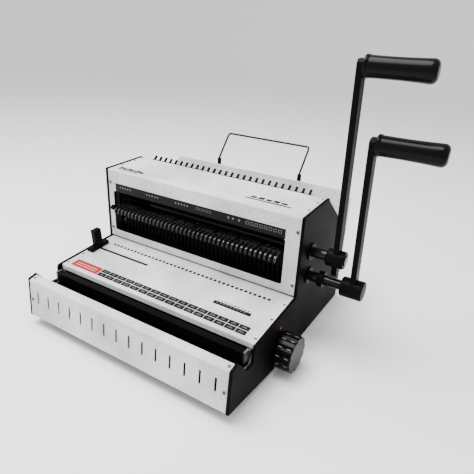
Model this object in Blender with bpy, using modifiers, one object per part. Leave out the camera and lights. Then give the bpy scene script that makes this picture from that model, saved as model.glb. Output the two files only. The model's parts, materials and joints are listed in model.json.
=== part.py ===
"""Two-lever punch and binding machine, modelled as a bench assembly.

Metres, +Z up, +X to the operator's right, +Y away from the operator.  Sizes
below are in the machine's own axes: X = 0 on the centre plane, Y = 0 at the
foot of the front rail and Z = 0 on the table top.  One parent empty carries
the whole machine to the middle of its overall box.
"""
import math

import bmesh
import bpy
from mathutils import Matrix, Vector

# ---------------------------------------------------------------- clearances
GAP = 0.0003            # between pieces that touch
RUNNING = 0.0004        # between a shaft and its bush, a slide and its way
SHEET = 0.0015          # folded steel sheet
CIRCLE = 24             # sides of a small round piece
CORNER_CUT = 1 - math.cos(math.radians(45))     # of a corner radius, at its middle

# -------------------------------------------------------------- overall body
BODY_WIDTH = 0.391      # silver panels, side to side
COVER_THICKNESS = 0.005
FRAME_THICKNESS = 0.003
BODY_DEPTH = 0.400      # front rail to rear edge of the side covers
COVER_CLEARANCE = 0.003     # covers to the table top
COVER_PROUD = 0.0015
COVER_EASE = 0.0008
FRAME_SUNK = 0.0035
FRONT_LIFT = 0.017      # the covers rise to this under the front rail
LIFT_START_Y = 0.125
BROW_Y = 0.062          # front of the covers beside the table
BROW_CORNER = 0.003

# ------------------------------------------------------- sloping table panel
TABLE_FRONT_Y = 0.070
TABLE_FRONT_Z = 0.086
TABLE_BACK_Y = 0.1945
TABLE_SLOPE = math.radians(5.66)
TABLE_LIP = 0.009

# ------------------------------------------------------------- upper housing
HOUSING_FRONT_Y = 0.191
HOUSING_TOP_Z = 0.233
HOUSING_TOP_BACK_Y = 0.285
HOUSING_TOP_RISE = 0.004
HOUSING_BACK_LIP = 0.012
PAPER_GAP = 0.0035
WINDOW_LEFT_EDGE = 0.011    # of panel beside the window
WINDOW_RIGHT_EDGE = 0.0235
WINDOW_BOTTOM_Z = 0.1145
WINDOW_TOP_Z = 0.193
WINDOW_CORNER = 0.004

# ------------------------------------------------------------------ the rear
REAR_CHAMFER_BACK = 0.004
REAR_CHAMFER_DROP = 0.006
REAR_SLOPE = math.radians(38)
REAR_PLATE_TOP_Z = 0.218
REAR_PLATE_BOTTOM_Z = 0.006
REAR_PLATE_CORNER = 0.011

# -------------------------------------------------------- front closing rail
RAIL_TOP_Z = 0.084
RAIL_LEAN = 0.005
RAIL_FLANGE = 0.015
RAIL_FLANGE_RISE = 0.004
RAIL_LIP = 0.010
RAIL_BOTTOM_Z = 0.019
RAIL_SLOTS = 15
RAIL_SLOT_PITCH = 0.0253
RAIL_SLOT_HEIGHT = 0.023
RAIL_SLOT_WIDTH = 0.0038
RAIL_SLOT_MID_Z = 0.056
CHANNEL_FLOOR_Z = 0.056
NOTCH_FRONT_Y = 0.044
NOTCH_BACK_Y = 0.060
NOTCH_Z = 0.061

# ------------------------------------------------------------ punch mechanism
HOLES = 40
HOLE_PITCH = 0.0254 / 3
PIN_SIZE = 0.004
PIN_ROW_Y = 0.208
DIE_HEIGHT = 0.012
DIE_BELOW_TABLE = 0.001
DIE_DEPTH = 0.026
DIE_INSET = 0.0054          # inside the side frames, at each end
GUIDE_HEIGHT = 0.012
GUIDE_SPACER = 0.0085
PIN_REST_OVERLAP = 0.0025
PIN_STRIP_Z = 0.140
PIN_STRIP_HEIGHT = 0.0096
PUNCH_BAR_HEIGHT = 0.014
PUNCH_BAR_DEPTH = 0.014
PUNCH_STROKE = 0.012
PUNCH_TURN = math.radians(75)
PUNCH_SHAFT_Y = 0.230
PUNCH_SHAFT_Z = 0.166
SHAFT_RADIUS = 0.008
BUSH_RADIUS = 0.011
BUSH_FLANGE_RADIUS = 0.014
BUSH_FLANGE = 0.0022
CAM_RADIUS = 0.020
CAM_THICKNESS = 0.0064
YOKE_THICKNESS = 0.008
YOKE_INSET = 0.0099         # inside the side frames
YOKE_WALL = 0.005
YOKE_PLAY = 0.0006

# ----------------------------------------------------------- punch-pin pulls
PULL_GROUPS = 8
PULLS_PER_GROUP = 5
PULL_THICKNESS = 0.0032
PULL_TIP_Y = 0.172
PULL_BAR_DEPTH = 0.012
PULL_BAR_HEIGHT = 0.004
PULL_DROP = 0.015
PULL_CURL_THICKNESS = 0.0032

# --------------------------------------------------------- closing mechanism
CLOSING_SHAFT_Y = 0.230
CLOSING_SHAFT_Z = 0.124
CLOSING_TURN = math.radians(70)
CRANK_RADIUS = 0.020
CRANK_PIN_RADIUS = 0.003
CRANK_THICKNESS = 0.004
CRANK_INSET = 0.0044        # inside the side frames
CRANK_PLAY = 0.0008
LINK_INSET = 0.0039
LINK_THICKNESS = 0.003
LINK_LOW_Z = 0.062
LINK_BAND = 0.014
CLOSING_BAR_FRONT_Y = 0.052
CLOSING_BAR_DEPTH = 0.012
CLOSING_BAR_HEIGHT = 0.018
FRONT_WALL_Y = 0.072

# --------------------------------------------------------------------- levers
ARM_WIDTH = 0.018
ARM_THICKNESS = 0.0085
ARM_CORNER = 0.004
PUNCH_ARM_OUT = 0.0422      # levers: distances out from the right cover
PUNCH_ARM_LENGTH = 0.277
PUNCH_ARM_LEAN = math.radians(4.8)
PUNCH_ARM_TAIL = 0.026
PUNCH_HUB_START = 0.0272
PUNCH_HUB_END = 0.0552
PUNCH_HUB_RADIUS = 0.014
CLOSING_ARM_OUT = 0.0742
CLOSING_ARM_LENGTH = 0.228
CLOSING_ARM_LEAN = math.radians(6.8)
CLOSING_HUB_START = 0.0562
CLOSING_HUB_END = 0.0902
CLOSING_HUB_RADIUS = 0.0155
COLLAR_START = 0.0182
COLLAR_WIDTH = 0.009
COLLAR_RADIUS = 0.013
GRIP_LENGTH = 0.086
GRIP_RADIUS = 0.0145
GRIP_ROD_RADIUS = 0.005
GRIP_CAP = 0.010

# ----------------------------------------------------------------- size knob
KNOB_Y = 0.142
KNOB_Z = 0.036
KNOB_RADIUS = 0.029
KNOB_LENGTH = 0.028
KNOB_FLUTES = 12
KNOB_SHAFT_RADIUS = 0.005
STOP_CAM_RADIUS = 0.018
STOP_CAM_FALL = 0.4         # share of its radius lost over one turn
KNOB_WAVE = ((0.0, 1.0), (0.3, 0.985), (0.42, 0.93), (0.58, 0.93), (0.7, 0.985))

# ---------------------------------------------------------------- edge guide
SLOT_EDGE = 0.0045          # of panel beside the slot
SLOT_LENGTH = 0.128
SLOT_Y = 0.145
SLOT_WIDTH = 0.006
GUIDE_LENGTH = 0.042
GUIDE_WIDTH = 0.014
GUIDE_THICKNESS = 0.007
GUIDE_FENCE_HEIGHT = 0.031
GUIDE_FENCE_DEPTH = 0.016
STUD_DEPTH = 0.0049          # of the stud in the guide

# --------------------------------------------- binding comb and its wire rack
TEETH = 27
TEETH_PITCH = 0.0127
TOOTH_WIDTH = 0.004
TOOTH_HEIGHT = 0.0085
TOOTH_REACH = 0.0077
COMB_THICKNESS = 0.002
COMB_STRIP_HEIGHT = 0.012
RACK_HALF_WIDTH = 0.0925
RACK_WIRE_RADIUS = 0.0021
RACK_LEG_Y = 0.0075         # behind the front face of the rear plate
RACK_RISE = 0.047
RACK_REACH = 0.035
RACK_INSERTION = 0.034
RACK_CORNER = 0.006
RACK_KNEE_REACH = 0.0028     # where the legs leave the upright
RACK_KNEE_RISE = 0.0056
SOCKET_RADIUS = 0.004
SOCKET_STANDS_PROUD = 0.011
SOCKET_LENGTH = 0.042

# --------------------------------------------------------------- chad drawer
DRAWER_HALF_WIDTH = 0.150
DRAWER_FRONT_Y = 0.203
DRAWER_BACK_STEP = 0.003
DRAWER_BOTTOM_Z = 0.0125
DRAWER_HEIGHT = 0.034
DRAWER_CLEARANCE = 0.001
HANDLE_HALF_WIDTH = 0.030
HANDLE_REACH = 0.018
HANDLE_RISE = 0.0187
HANDLE_WIRE_RADIUS = 0.0025

# ------------------------------------------------------------ base and feet
BASE_Z = 0.008
BASE_THICKNESS = 0.002
BASE_RISE = 0.09            # slope of the base under the front end
FOOT_RADIUS = 0.012
FOOT_EASE = 0.001
FOOT_INSET_X = 0.030
FOOT_FRONT_Y = 0.150
FOOT_REAR_INSET = 0.025
TIE_ROD_Y = 0.268
TIE_ROD_Z = 0.205
TIE_ROD_RADIUS = 0.006
SPRING_WIRE_RADIUS = 0.00125
SPRING_TURNS = 7
SPRING_PITCH = 0.0034
SPRING_X = -0.150
SPRING_START = math.radians(20)

# ------------------------------------------------- values that follow those
HALF_BODY = BODY_WIDTH / 2
COVER_INNER_X = HALF_BODY + GAP
COVER_OUTER_X = COVER_INNER_X + COVER_THICKNESS
FRAME_OUTER_X = HALF_BODY - GAP
FRAME_INNER_X = FRAME_OUTER_X - FRAME_THICKNESS
INNER_HALF = FRAME_INNER_X - GAP
PUNCH_ARM_X = COVER_OUTER_X + PUNCH_ARM_OUT
PUNCH_HUB_INNER_X = COVER_OUTER_X + PUNCH_HUB_START
PUNCH_HUB_OUTER_X = COVER_OUTER_X + PUNCH_HUB_END
CLOSING_ARM_X = COVER_OUTER_X + CLOSING_ARM_OUT
CLOSING_HUB_INNER_X = COVER_OUTER_X + CLOSING_HUB_START
CLOSING_HUB_OUTER_X = COVER_OUTER_X + CLOSING_HUB_END
COLLAR_INNER_X = COVER_OUTER_X + COLLAR_START
YOKE_OUTER_X = INNER_HALF - YOKE_INSET
CRANK_OUTER_X = INNER_HALF - CRANK_INSET
LINK_INNER_X = INNER_HALF - LINK_INSET
DIE_HALF_WIDTH = INNER_HALF - DIE_INSET
WINDOW_LEFT = -HALF_BODY + WINDOW_LEFT_EDGE
WINDOW_RIGHT = HALF_BODY - WINDOW_RIGHT_EDGE
SLOT_LEFT = -HALF_BODY + SLOT_EDGE
SLOT_RIGHT = SLOT_LEFT + SLOT_LENGTH
RAIL_BACK_Y = RAIL_LEAN + RAIL_FLANGE
RAIL_BACK_Z = RAIL_TOP_Z + RAIL_FLANGE_RISE
TABLE_BACK_Z = TABLE_FRONT_Z + (TABLE_BACK_Y - TABLE_FRONT_Y) * math.tan(TABLE_SLOPE)
HOUSING_BOTTOM_Z = TABLE_BACK_Z + PAPER_GAP
TOP_BACK_Z = HOUSING_TOP_Z + HOUSING_TOP_RISE
BAR_BOTTOM_Z = PIN_STRIP_Z + PIN_STRIP_HEIGHT + GAP
BAR_TOP_Z = BAR_BOTTOM_Z + PUNCH_BAR_HEIGHT
DIE_TOP_Z = TABLE_BACK_Z - DIE_BELOW_TABLE
GUIDE_BOTTOM_Z = DIE_TOP_Z + GAP
PIN_GUIDE_Z = DIE_TOP_Z + PAPER_GAP - GAP
DIE_FRONT_Y = TABLE_BACK_Y + 2 * GAP
CAM_OFFSET = PUNCH_STROKE / (2 * math.sin(PUNCH_TURN / 2))
CLOSING_TRAVEL = 2 * CRANK_RADIUS * math.sin(CLOSING_TURN / 2)
REAR_PLATE_Y = BODY_DEPTH + GAP
RACK_Y = REAR_PLATE_Y + RACK_LEG_Y
RACK_TOP_Y = RACK_Y + RACK_REACH
GRIP_END_X = CLOSING_ARM_X + ARM_THICKNESS / 2 + GAP + GRIP_LENGTH
FRAME_SHIFT = Vector((
    (GRIP_END_X - COVER_OUTER_X) / 2,
    (RACK_TOP_Y + RACK_WIRE_RADIUS) / 2,
    0.0,
))


# ------------------------------------------------------------------ helpers
def collection(name):
    group = bpy.data.collections.new(name)
    bpy.context.scene.collection.children.link(group)
    return group


def material(name, colour, roughness, metallic):
    surface = bpy.data.materials.new(name)
    surface.use_nodes = True
    shader = surface.node_tree.nodes["Principled BSDF"]
    shader.inputs["Base Color"].default_value = (*colour, 1.0)
    shader.inputs["Roughness"].default_value = roughness
    shader.inputs["Metallic"].default_value = metallic
    return surface


def pivot(name, place, parent):
    """An empty on a joint axis, placed in machine axes."""
    empty = bpy.data.objects.new(name, None)
    empty.empty_display_size = 0.03
    empty.location = Vector(place)
    empty.parent = parent
    parts.objects.link(empty)
    return empty


def origin_of(body):
    """Where a body's empty stands in machine axes."""
    place = Vector((0.0, 0.0, 0.0))
    while body is not None and body is not machine:
        place += body.location
        body = body.parent
    return place


def mesh_object(name, mesh, place, body, surface):
    obj = bpy.data.objects.new(name, mesh)
    obj.location = Vector(place) - origin_of(body)
    obj.parent = body
    parts.objects.link(obj)
    if surface is not None:
        mesh.materials.clear()
        mesh.materials.append(surface)
    return obj


def from_bmesh(name, bm, place, body, surface):
    bmesh.ops.recalc_face_normals(bm, faces=bm.faces)
    mesh = bpy.data.meshes.new(name)
    bm.to_mesh(mesh)
    bm.free()
    return mesh_object(name, mesh, place, body, surface)


def box(name, low, high, body, surface, bevel=0.0):
    """A block between two corners, with its edges eased by bevel."""
    low = Vector(low)
    high = Vector(high)
    bm = bmesh.new()
    bmesh.ops.create_cube(bm, size=1.0, matrix=Matrix.Diagonal((*(high - low), 1.0)))
    obj = from_bmesh(name, bm, (low + high) / 2, body, surface)
    if bevel:
        add_bevel(obj, bevel)
    return obj


def add_bevel(obj, width, segments=1):
    modifier = obj.modifiers.new("eased_edges", "BEVEL")
    modifier.width = width
    modifier.segments = segments
    modifier.limit_method = "ANGLE"
    modifier.angle_limit = math.radians(40)
    modifier.use_clamp_overlap = True


def smooth(obj):
    obj.data.shade_smooth()
    obj.data.set_sharp_from_angle(angle=math.radians(35))
    return obj


def rod(name, x0, x1, y, z, radius, body, surface, sides=CIRCLE):
    """A round bar along X."""
    bm = bmesh.new()
    turn = Matrix.Rotation(math.radians(90), 4, "Y")
    bmesh.ops.create_cone(bm, cap_ends=True, segments=sides, radius1=radius, radius2=radius,
                          depth=abs(x1 - x0), matrix=turn)
    return smooth(from_bmesh(name, bm, ((x0 + x1) / 2, y, z), body, surface))


def post(name, x, y, z0, z1, radius, body, surface, sides=CIRCLE):
    """A round post along Z."""
    bm = bmesh.new()
    bmesh.ops.create_cone(bm, cap_ends=True, segments=sides, radius1=radius, radius2=radius,
                          depth=z1 - z0)
    return smooth(from_bmesh(name, bm, (x, y, (z0 + z1) / 2), body, surface))


def turned(name, profile, x, y, z, body, surface, sides=CIRCLE, ring=False):
    """A turned piece on an X axis, from (distance along X, radius) stations, outer end last.

    A ring's profile closes on itself; any other profile ends on the axis.
    """
    mesh = bpy.data.meshes.new(name)
    points = [(radius, 0.0, along) for along, radius in reversed(profile)]
    edges = [(i, i + 1) for i in range(len(points) - 1)]
    if ring:
        edges.append((len(points) - 1, 0))
    mesh.from_pydata(points, edges, [])
    obj = mesh_object(name, mesh, (x, y, z), body, surface)
    obj.rotation_euler = (0.0, math.radians(90), 0.0)
    spin = obj.modifiers.new("turn", "SCREW")
    spin.axis = "Z"
    spin.steps = sides
    spin.render_steps = sides
    spin.use_merge_vertices = True
    spin.merge_threshold = 0.00001
    spin.use_smooth_shade = True
    return obj


def curve_mesh(name, curve, place, turn, body, surface):
    """The evaluated mesh of a curve, with its caps welded."""
    holder = bpy.data.objects.new(name + "_curve", curve)
    parts.objects.link(holder)
    view = bpy.context.evaluated_depsgraph_get()
    mesh = bpy.data.meshes.new_from_object(holder.evaluated_get(view))
    bpy.data.objects.remove(holder)
    bpy.data.curves.remove(curve)
    bm = bmesh.new()
    bm.from_mesh(mesh)
    bmesh.ops.remove_doubles(bm, verts=bm.verts, dist=0.000005)
    bmesh.ops.recalc_face_normals(bm, faces=bm.faces)
    bm.to_mesh(mesh)
    bm.free()
    mesh.name = name
    obj = mesh_object(name, mesh, place, body, surface)
    obj.rotation_euler = turn
    return obj


SIDE_ON = (math.radians(90), 0.0, math.radians(90))     # outline in Y and Z, thickness along X
FRONT_ON = (math.radians(90), 0.0, 0.0)                 # outline in X and Z, thickness along Y


def plate(name, outline, middle, thickness, body, surface, turn=SIDE_ON):
    """A flat outline given thickness; middle is its mid-plane along the thin axis."""
    curve = bpy.data.curves.new(name, "CURVE")
    curve.dimensions = "2D"
    curve.fill_mode = "BOTH"
    curve.extrude = thickness / 2
    spline = curve.splines.new("POLY")
    spline.points.add(len(outline) - 1)
    for point, (along, up) in zip(spline.points, outline):
        point.co = (along, up, 0.0, 1.0)
    spline.use_cyclic_u = True
    place = (middle, 0.0, 0.0) if turn is SIDE_ON else (0.0, middle, 0.0)
    return curve_mesh(name, curve, place, turn, body, surface)


def tube(name, points, radius, body, surface, sides=8):
    """A round wire through points, with flat ends."""
    curve = bpy.data.curves.new(name, "CURVE")
    curve.dimensions = "3D"
    curve.bevel_depth = radius
    curve.bevel_resolution = sides // 2 - 2
    curve.use_fill_caps = True
    spline = curve.splines.new("POLY")
    spline.points.add(len(points) - 1)
    for point, place in zip(spline.points, points):
        point.co = (*place, 1.0)
    return smooth(curve_mesh(name, curve, (0.0, 0.0, 0.0), (0.0, 0.0, 0.0), body, surface))


def folded_sheet(name, section, half_width, thickness, body, surface):
    """A sheet folded along a (Y, Z) section; the section is its outer face, metal on the right."""
    bm = bmesh.new()
    left = [bm.verts.new((-half_width, y, z)) for y, z in section]
    right = [bm.verts.new((half_width, y, z)) for y, z in section]
    for i in range(len(section) - 1):
        bm.faces.new((left[i], left[i + 1], right[i + 1], right[i]))
    mesh = bpy.data.meshes.new(name)
    bm.to_mesh(mesh)
    bm.free()
    obj = mesh_object(name, mesh, (0.0, 0.0, 0.0), body, surface)
    shell = obj.modifiers.new("sheet_thickness", "SOLIDIFY")
    shell.thickness = thickness
    shell.offset = 1.0
    shell.use_even_offset = True
    shell.use_quality_normals = True
    return obj


def boolean(obj, tool, operation):
    """Cut or join with a tool kept among the cutters, in the same place."""
    parts.objects.unlink(tool)
    cutters.objects.link(tool)
    tool.hide_render = True
    tool.display_type = "WIRE"
    modifier = obj.modifiers.new(tool.name, "BOOLEAN")
    modifier.operation = operation
    modifier.solver = "EXACT"
    modifier.object = tool
    return obj


def cut(obj, tool):
    return boolean(obj, tool, "DIFFERENCE")


def join(obj, tool):
    return boolean(obj, tool, "UNION")


def cut_rods(obj, name, x0, x1, centres, radius, body):
    """Round holes along X."""
    for number, (y, z) in enumerate(centres):
        cut(obj, rod(f"{name}_{number}", x0, x1, y, z, radius, body, None))


def arc(centre, radius, start, end, steps):
    """Points on an arc in the outline's own plane; angles in degrees."""
    angles = [math.radians(start + (end - start) * i / steps) for i in range(steps + 1)]
    return [(centre[0] + radius * math.cos(a), centre[1] + radius * math.sin(a)) for a in angles]


def table_height(y):
    """Height of the table panel's upper face."""
    return TABLE_FRONT_Z + (y - TABLE_FRONT_Y) * math.tan(TABLE_SLOPE)


def slope_height(y):
    """Height of the rear slope's upper face."""
    start = HOUSING_TOP_BACK_Y + REAR_CHAMFER_BACK
    return TOP_BACK_Z - REAR_CHAMFER_DROP - (y - start) * math.tan(REAR_SLOPE)


def hole_places():
    return [(number - (HOLES - 1) / 2) * HOLE_PITCH for number in range(HOLES)]


# ------------------------------------------------------------ side structure
def cover_outline():
    """Outline of a black side cover, standing proud of the silver panels."""
    proud = COVER_PROUD
    rear_step = HOUSING_TOP_BACK_Y + REAR_CHAMFER_BACK
    return [
        (0.0, FRONT_LIFT),
        (RAIL_LEAN, RAIL_TOP_Z + proud),
        (RAIL_BACK_Y, RAIL_BACK_Z + proud),
        (NOTCH_FRONT_Y, NOTCH_Z),
        (NOTCH_BACK_Y, NOTCH_Z),
        (BROW_Y, TABLE_FRONT_Z - BROW_CORNER),
        (BROW_Y + BROW_CORNER, table_height(BROW_Y + BROW_CORNER) + proud),
        (HOUSING_FRONT_Y - proud, table_height(HOUSING_FRONT_Y) + proud),
        (HOUSING_FRONT_Y - proud, HOUSING_TOP_Z + proud),
        (HOUSING_TOP_BACK_Y, TOP_BACK_Z + proud),
        (rear_step, TOP_BACK_Z + proud - REAR_CHAMFER_DROP),
        (BODY_DEPTH, slope_height(BODY_DEPTH) + proud),
        (BODY_DEPTH, COVER_CLEARANCE),
        (LIFT_START_Y, COVER_CLEARANCE),
    ]


def frame_outline():
    """Outline of a steel side frame, sunk inside the folds of the silver panels."""
    sunk = FRAME_SUNK
    lip_y = RAIL_BACK_Y - SHEET - 2 * GAP
    top_y = HOUSING_TOP_BACK_Y - SHEET - 2 * GAP
    lip_z = TOP_BACK_Z - HOUSING_BACK_LIP - FRAME_THICKNESS / 3
    rear = BODY_DEPTH - FRAME_THICKNESS
    base = BASE_Z + BASE_THICKNESS + GAP
    return [
        (sunk, FRONT_LIFT + sunk),
        (RAIL_LEAN + sunk, RAIL_TOP_Z - sunk),
        (lip_y, RAIL_BACK_Z - sunk),
        (lip_y, RAIL_BACK_Z - RAIL_LIP - sunk),
        (NOTCH_FRONT_Y, NOTCH_Z - sunk),
        (NOTCH_BACK_Y, NOTCH_Z - sunk),
        (TABLE_FRONT_Y + SHEET + 2 * GAP, TABLE_FRONT_Z - TABLE_LIP - sunk),
        (TABLE_FRONT_Y + SHEET + 2 * GAP, TABLE_FRONT_Z - sunk),
        (TABLE_BACK_Y + 2 * GAP, TABLE_BACK_Z - sunk),
        (TABLE_BACK_Y + 2 * GAP, HOUSING_TOP_Z - sunk),
        (top_y, TOP_BACK_Z - sunk),
        (top_y, lip_z),
        (HOUSING_TOP_BACK_Y + FRAME_THICKNESS, lip_z),
        (rear, slope_height(rear) - sunk),
        (rear, base),
        (LIFT_START_Y, base),
    ]


def side_plates():
    outline = cover_outline()
    inner = frame_outline()
    shafts = [(PUNCH_SHAFT_Y, PUNCH_SHAFT_Z), (CLOSING_SHAFT_Y, CLOSING_SHAFT_Z)]
    cover_mid = COVER_INNER_X + COVER_THICKNESS / 2
    frame_mid = FRAME_INNER_X + FRAME_THICKNESS / 2
    reach = COVER_THICKNESS * 2
    for side, sign in (("left", -1), ("right", 1)):
        cover = plate(f"{side}_side_cover", outline, sign * cover_mid, COVER_THICKNESS,
                      machine, black_cover)
        frame = plate(f"{side}_side_frame", inner, sign * frame_mid, FRAME_THICKNESS,
                      machine, plated_steel)
        low = min(sign * (frame_mid - reach), sign * (frame_mid + reach))
        cut_rods(frame, f"{side}_frame_bore", low, low + 2 * reach, shafts,
                 BUSH_RADIUS + GAP, machine)
        if side == "right":
            low = cover_mid - reach
            cut_rods(cover, "right_cover_bore", low, low + 2 * reach, shafts,
                     BUSH_RADIUS + GAP, machine)
            for name, obj, mid in (("cover", cover, cover_mid), ("frame", frame, frame_mid)):
                cut_rods(obj, f"knob_bore_{name}", mid - reach / 2, mid + reach / 2,
                         [(KNOB_Y, KNOB_Z)], KNOB_SHAFT_RADIUS + RUNNING, machine)
        add_bevel(cover, COVER_EASE)


def bushes():
    """Bronze bushes: short ones inside the left frame, flanged ones through the right side."""
    bore = SHAFT_RADIUS + RUNNING
    for name, y, z in (("punch", PUNCH_SHAFT_Y, PUNCH_SHAFT_Z),
                       ("closing", CLOSING_SHAFT_Y, CLOSING_SHAFT_Z)):
        left = rod(f"{name}_bush_left", -COVER_INNER_X + 2 * GAP, -INNER_HALF, y, z,
                   BUSH_RADIUS, machine, black_steel)
        cut_rods(left, f"{name}_left_bush_bore", -COVER_OUTER_X, -INNER_HALF + FRAME_THICKNESS,
                 [(y, z)], bore, machine)
        outer = COVER_OUTER_X + GAP
        stations = [(0.0, bore), (0.0, BUSH_RADIUS), (outer - INNER_HALF, BUSH_RADIUS),
                    (outer - INNER_HALF, BUSH_FLANGE_RADIUS),
                    (outer - INNER_HALF + BUSH_FLANGE, BUSH_FLANGE_RADIUS),
                    (outer - INNER_HALF + BUSH_FLANGE, bore)]
        turned(f"{name}_bush_right", stations, INNER_HALF, y, z, machine, black_steel, ring=True)


def base_and_feet():
    section = [
        (BODY_DEPTH - FRAME_THICKNESS, BASE_Z),
        (LIFT_START_Y, BASE_Z),
        (FRONT_WALL_Y + 4 * SHEET, BASE_Z + (LIFT_START_Y - FRONT_WALL_Y) * BASE_RISE),
    ]
    folded_sheet("base_plate", section, INNER_HALF, BASE_THICKNESS, machine, plated_steel)
    rear_y = BODY_DEPTH - FOOT_REAR_INSET
    foot_x = HALF_BODY - FOOT_INSET_X
    for row, y in (("front", FOOT_FRONT_Y), ("rear", rear_y)):
        for side, x in (("left", -foot_x), ("right", foot_x)):
            foot = post(f"foot_{row}_{side}", x, y, 0.0, BASE_Z - GAP, FOOT_RADIUS,
                        machine, rubber)
            add_bevel(foot, FOOT_EASE)


# -------------------------------------------------------------------- panels
def table_panel():
    section = [
        (TABLE_BACK_Y, TABLE_BACK_Z),
        (TABLE_FRONT_Y, TABLE_FRONT_Z),
        (TABLE_FRONT_Y, TABLE_FRONT_Z - TABLE_LIP),
    ]
    panel = folded_sheet("table_panel", section[::-1], HALF_BODY, SHEET, machine, silver_paint)
    end = SLOT_WIDTH / 2
    z = table_height(SLOT_Y)
    outline = arc((SLOT_RIGHT - end, SLOT_Y), end, -90, 90, 6)
    outline += arc((SLOT_LEFT + end, SLOT_Y), end, 90, 270, 6)
    slot = plate("guide_slot_cutter", outline, 0.0, 4 * SLOT_WIDTH, machine, None, (0.0, 0.0, 0.0))
    slot.location = (0.0, 0.0, z)
    cut(panel, slot)


def upper_cover():
    section = [
        (HOUSING_FRONT_Y, HOUSING_BOTTOM_Z),
        (HOUSING_FRONT_Y, HOUSING_TOP_Z),
        (HOUSING_TOP_BACK_Y, TOP_BACK_Z),
        (HOUSING_TOP_BACK_Y, TOP_BACK_Z - HOUSING_BACK_LIP),
    ]
    cover = folded_sheet("upper_cover", section, HALF_BODY, SHEET, machine, silver_paint)
    r = WINDOW_CORNER
    outline = arc((WINDOW_RIGHT - r, WINDOW_BOTTOM_Z + r), r, -90, 0, 3)
    outline += arc((WINDOW_RIGHT - r, WINDOW_TOP_Z - r), r, 0, 90, 3)
    outline += arc((WINDOW_LEFT + r, WINDOW_TOP_Z - r), r, 90, 180, 3)
    outline += arc((WINDOW_LEFT + r, WINDOW_BOTTOM_Z + r), r, 180, 270, 3)
    cut(cover, plate("window_cutter", outline, HOUSING_FRONT_Y, 4 * SHEET, machine, None, FRONT_ON))


def rear_panels():
    """Sloping cover behind the comb, and the upright plate that sheets lean on."""
    start_y = HOUSING_TOP_BACK_Y + COMB_THICKNESS + SHEET + 3 * GAP
    end_y = BODY_DEPTH - 2 * GAP
    section = [
        (start_y, TOP_BACK_Z - REAR_CHAMFER_DROP - COMB_THICKNESS),
        (end_y, slope_height(end_y)),
        (end_y, slope_height(end_y) - 2 * HOUSING_BACK_LIP),
    ]
    folded_sheet("rear_slope_cover", section, HALF_BODY, SHEET, machine, silver_paint)
    c = REAR_PLATE_CORNER
    outline = [
        (-COVER_OUTER_X, REAR_PLATE_BOTTOM_Z),
        (COVER_OUTER_X, REAR_PLATE_BOTTOM_Z),
        (COVER_OUTER_X, REAR_PLATE_TOP_Z - c),
        (COVER_OUTER_X - c, REAR_PLATE_TOP_Z),
        (-COVER_OUTER_X + c, REAR_PLATE_TOP_Z),
        (-COVER_OUTER_X, REAR_PLATE_TOP_Z - c),
    ]
    panel = plate("rear_plate", outline, REAR_PLATE_Y + SHEET / 2, SHEET, machine,
                  silver_paint, FRONT_ON)
    gap = DRAWER_CLEARANCE
    low = (-DRAWER_HALF_WIDTH - gap, REAR_PLATE_Y - SHEET, DRAWER_BOTTOM_Z - gap)
    high = (DRAWER_HALF_WIDTH + gap, REAR_PLATE_Y + 2 * SHEET,
            DRAWER_BOTTOM_Z + DRAWER_HEIGHT + gap)
    cut(panel, box("drawer_opening_cutter", low, high, machine, None))


def front_end():
    """Slotted front rail, the channel floor and the black wall under the table."""
    section = [
        (0.0, RAIL_BOTTOM_Z),
        (RAIL_LEAN, RAIL_TOP_Z),
        (RAIL_BACK_Y, RAIL_BACK_Z),
        (RAIL_BACK_Y, RAIL_BACK_Z - RAIL_LIP),
    ]
    rail = folded_sheet("closing_rail", section, HALF_BODY, SHEET, machine, silver_paint)
    end = RAIL_SLOT_WIDTH / 2
    half = RAIL_SLOT_HEIGHT / 2 - end
    for number in range(RAIL_SLOTS):
        x = (number - (RAIL_SLOTS - 1) / 2) * RAIL_SLOT_PITCH
        outline = arc((x, RAIL_SLOT_MID_Z + half), end, 0, 180, 4)
        outline += arc((x, RAIL_SLOT_MID_Z - half), end, 180, 360, 4)
        tool = plate(f"rail_slot_cutter_{number}", outline, RAIL_LEAN / 2, RAIL_FLANGE,
                     machine, None, FRONT_ON)
        cut(rail, tool)
    floor = [
        (FRONT_WALL_Y - GAP, CHANNEL_FLOOR_Z),
        (RAIL_LEAN + 3 * SHEET, CHANNEL_FLOOR_Z),
        (RAIL_LEAN + 3 * SHEET, CHANNEL_FLOOR_Z - 2 * HOUSING_BACK_LIP),
    ]
    folded_sheet("channel_floor", floor[::-1], INNER_HALF, SHEET, machine, black_steel)
    wall_top = table_height(FRONT_WALL_Y) - 2 * SHEET
    box("front_wall", (-DIE_HALF_WIDTH, FRONT_WALL_Y, FRONT_LIFT + SHEET),
        (DIE_HALF_WIDTH, FRONT_WALL_Y + SHEET, wall_top), machine, black_steel)


# ----------------------------------------------------------- fixed punch set
def square_row(name, z0, z1, size, body):
    """Square posts on the hole pitch, from z0 to z1."""
    tools = []
    for number, x in enumerate(hole_places()):
        tools.append(box(f"{name}_{number}", (x - size / 2, PIN_ROW_Y - size / 2, z0),
                         (x + size / 2, PIN_ROW_Y + size / 2, z1), body, None))
    return tools


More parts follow.
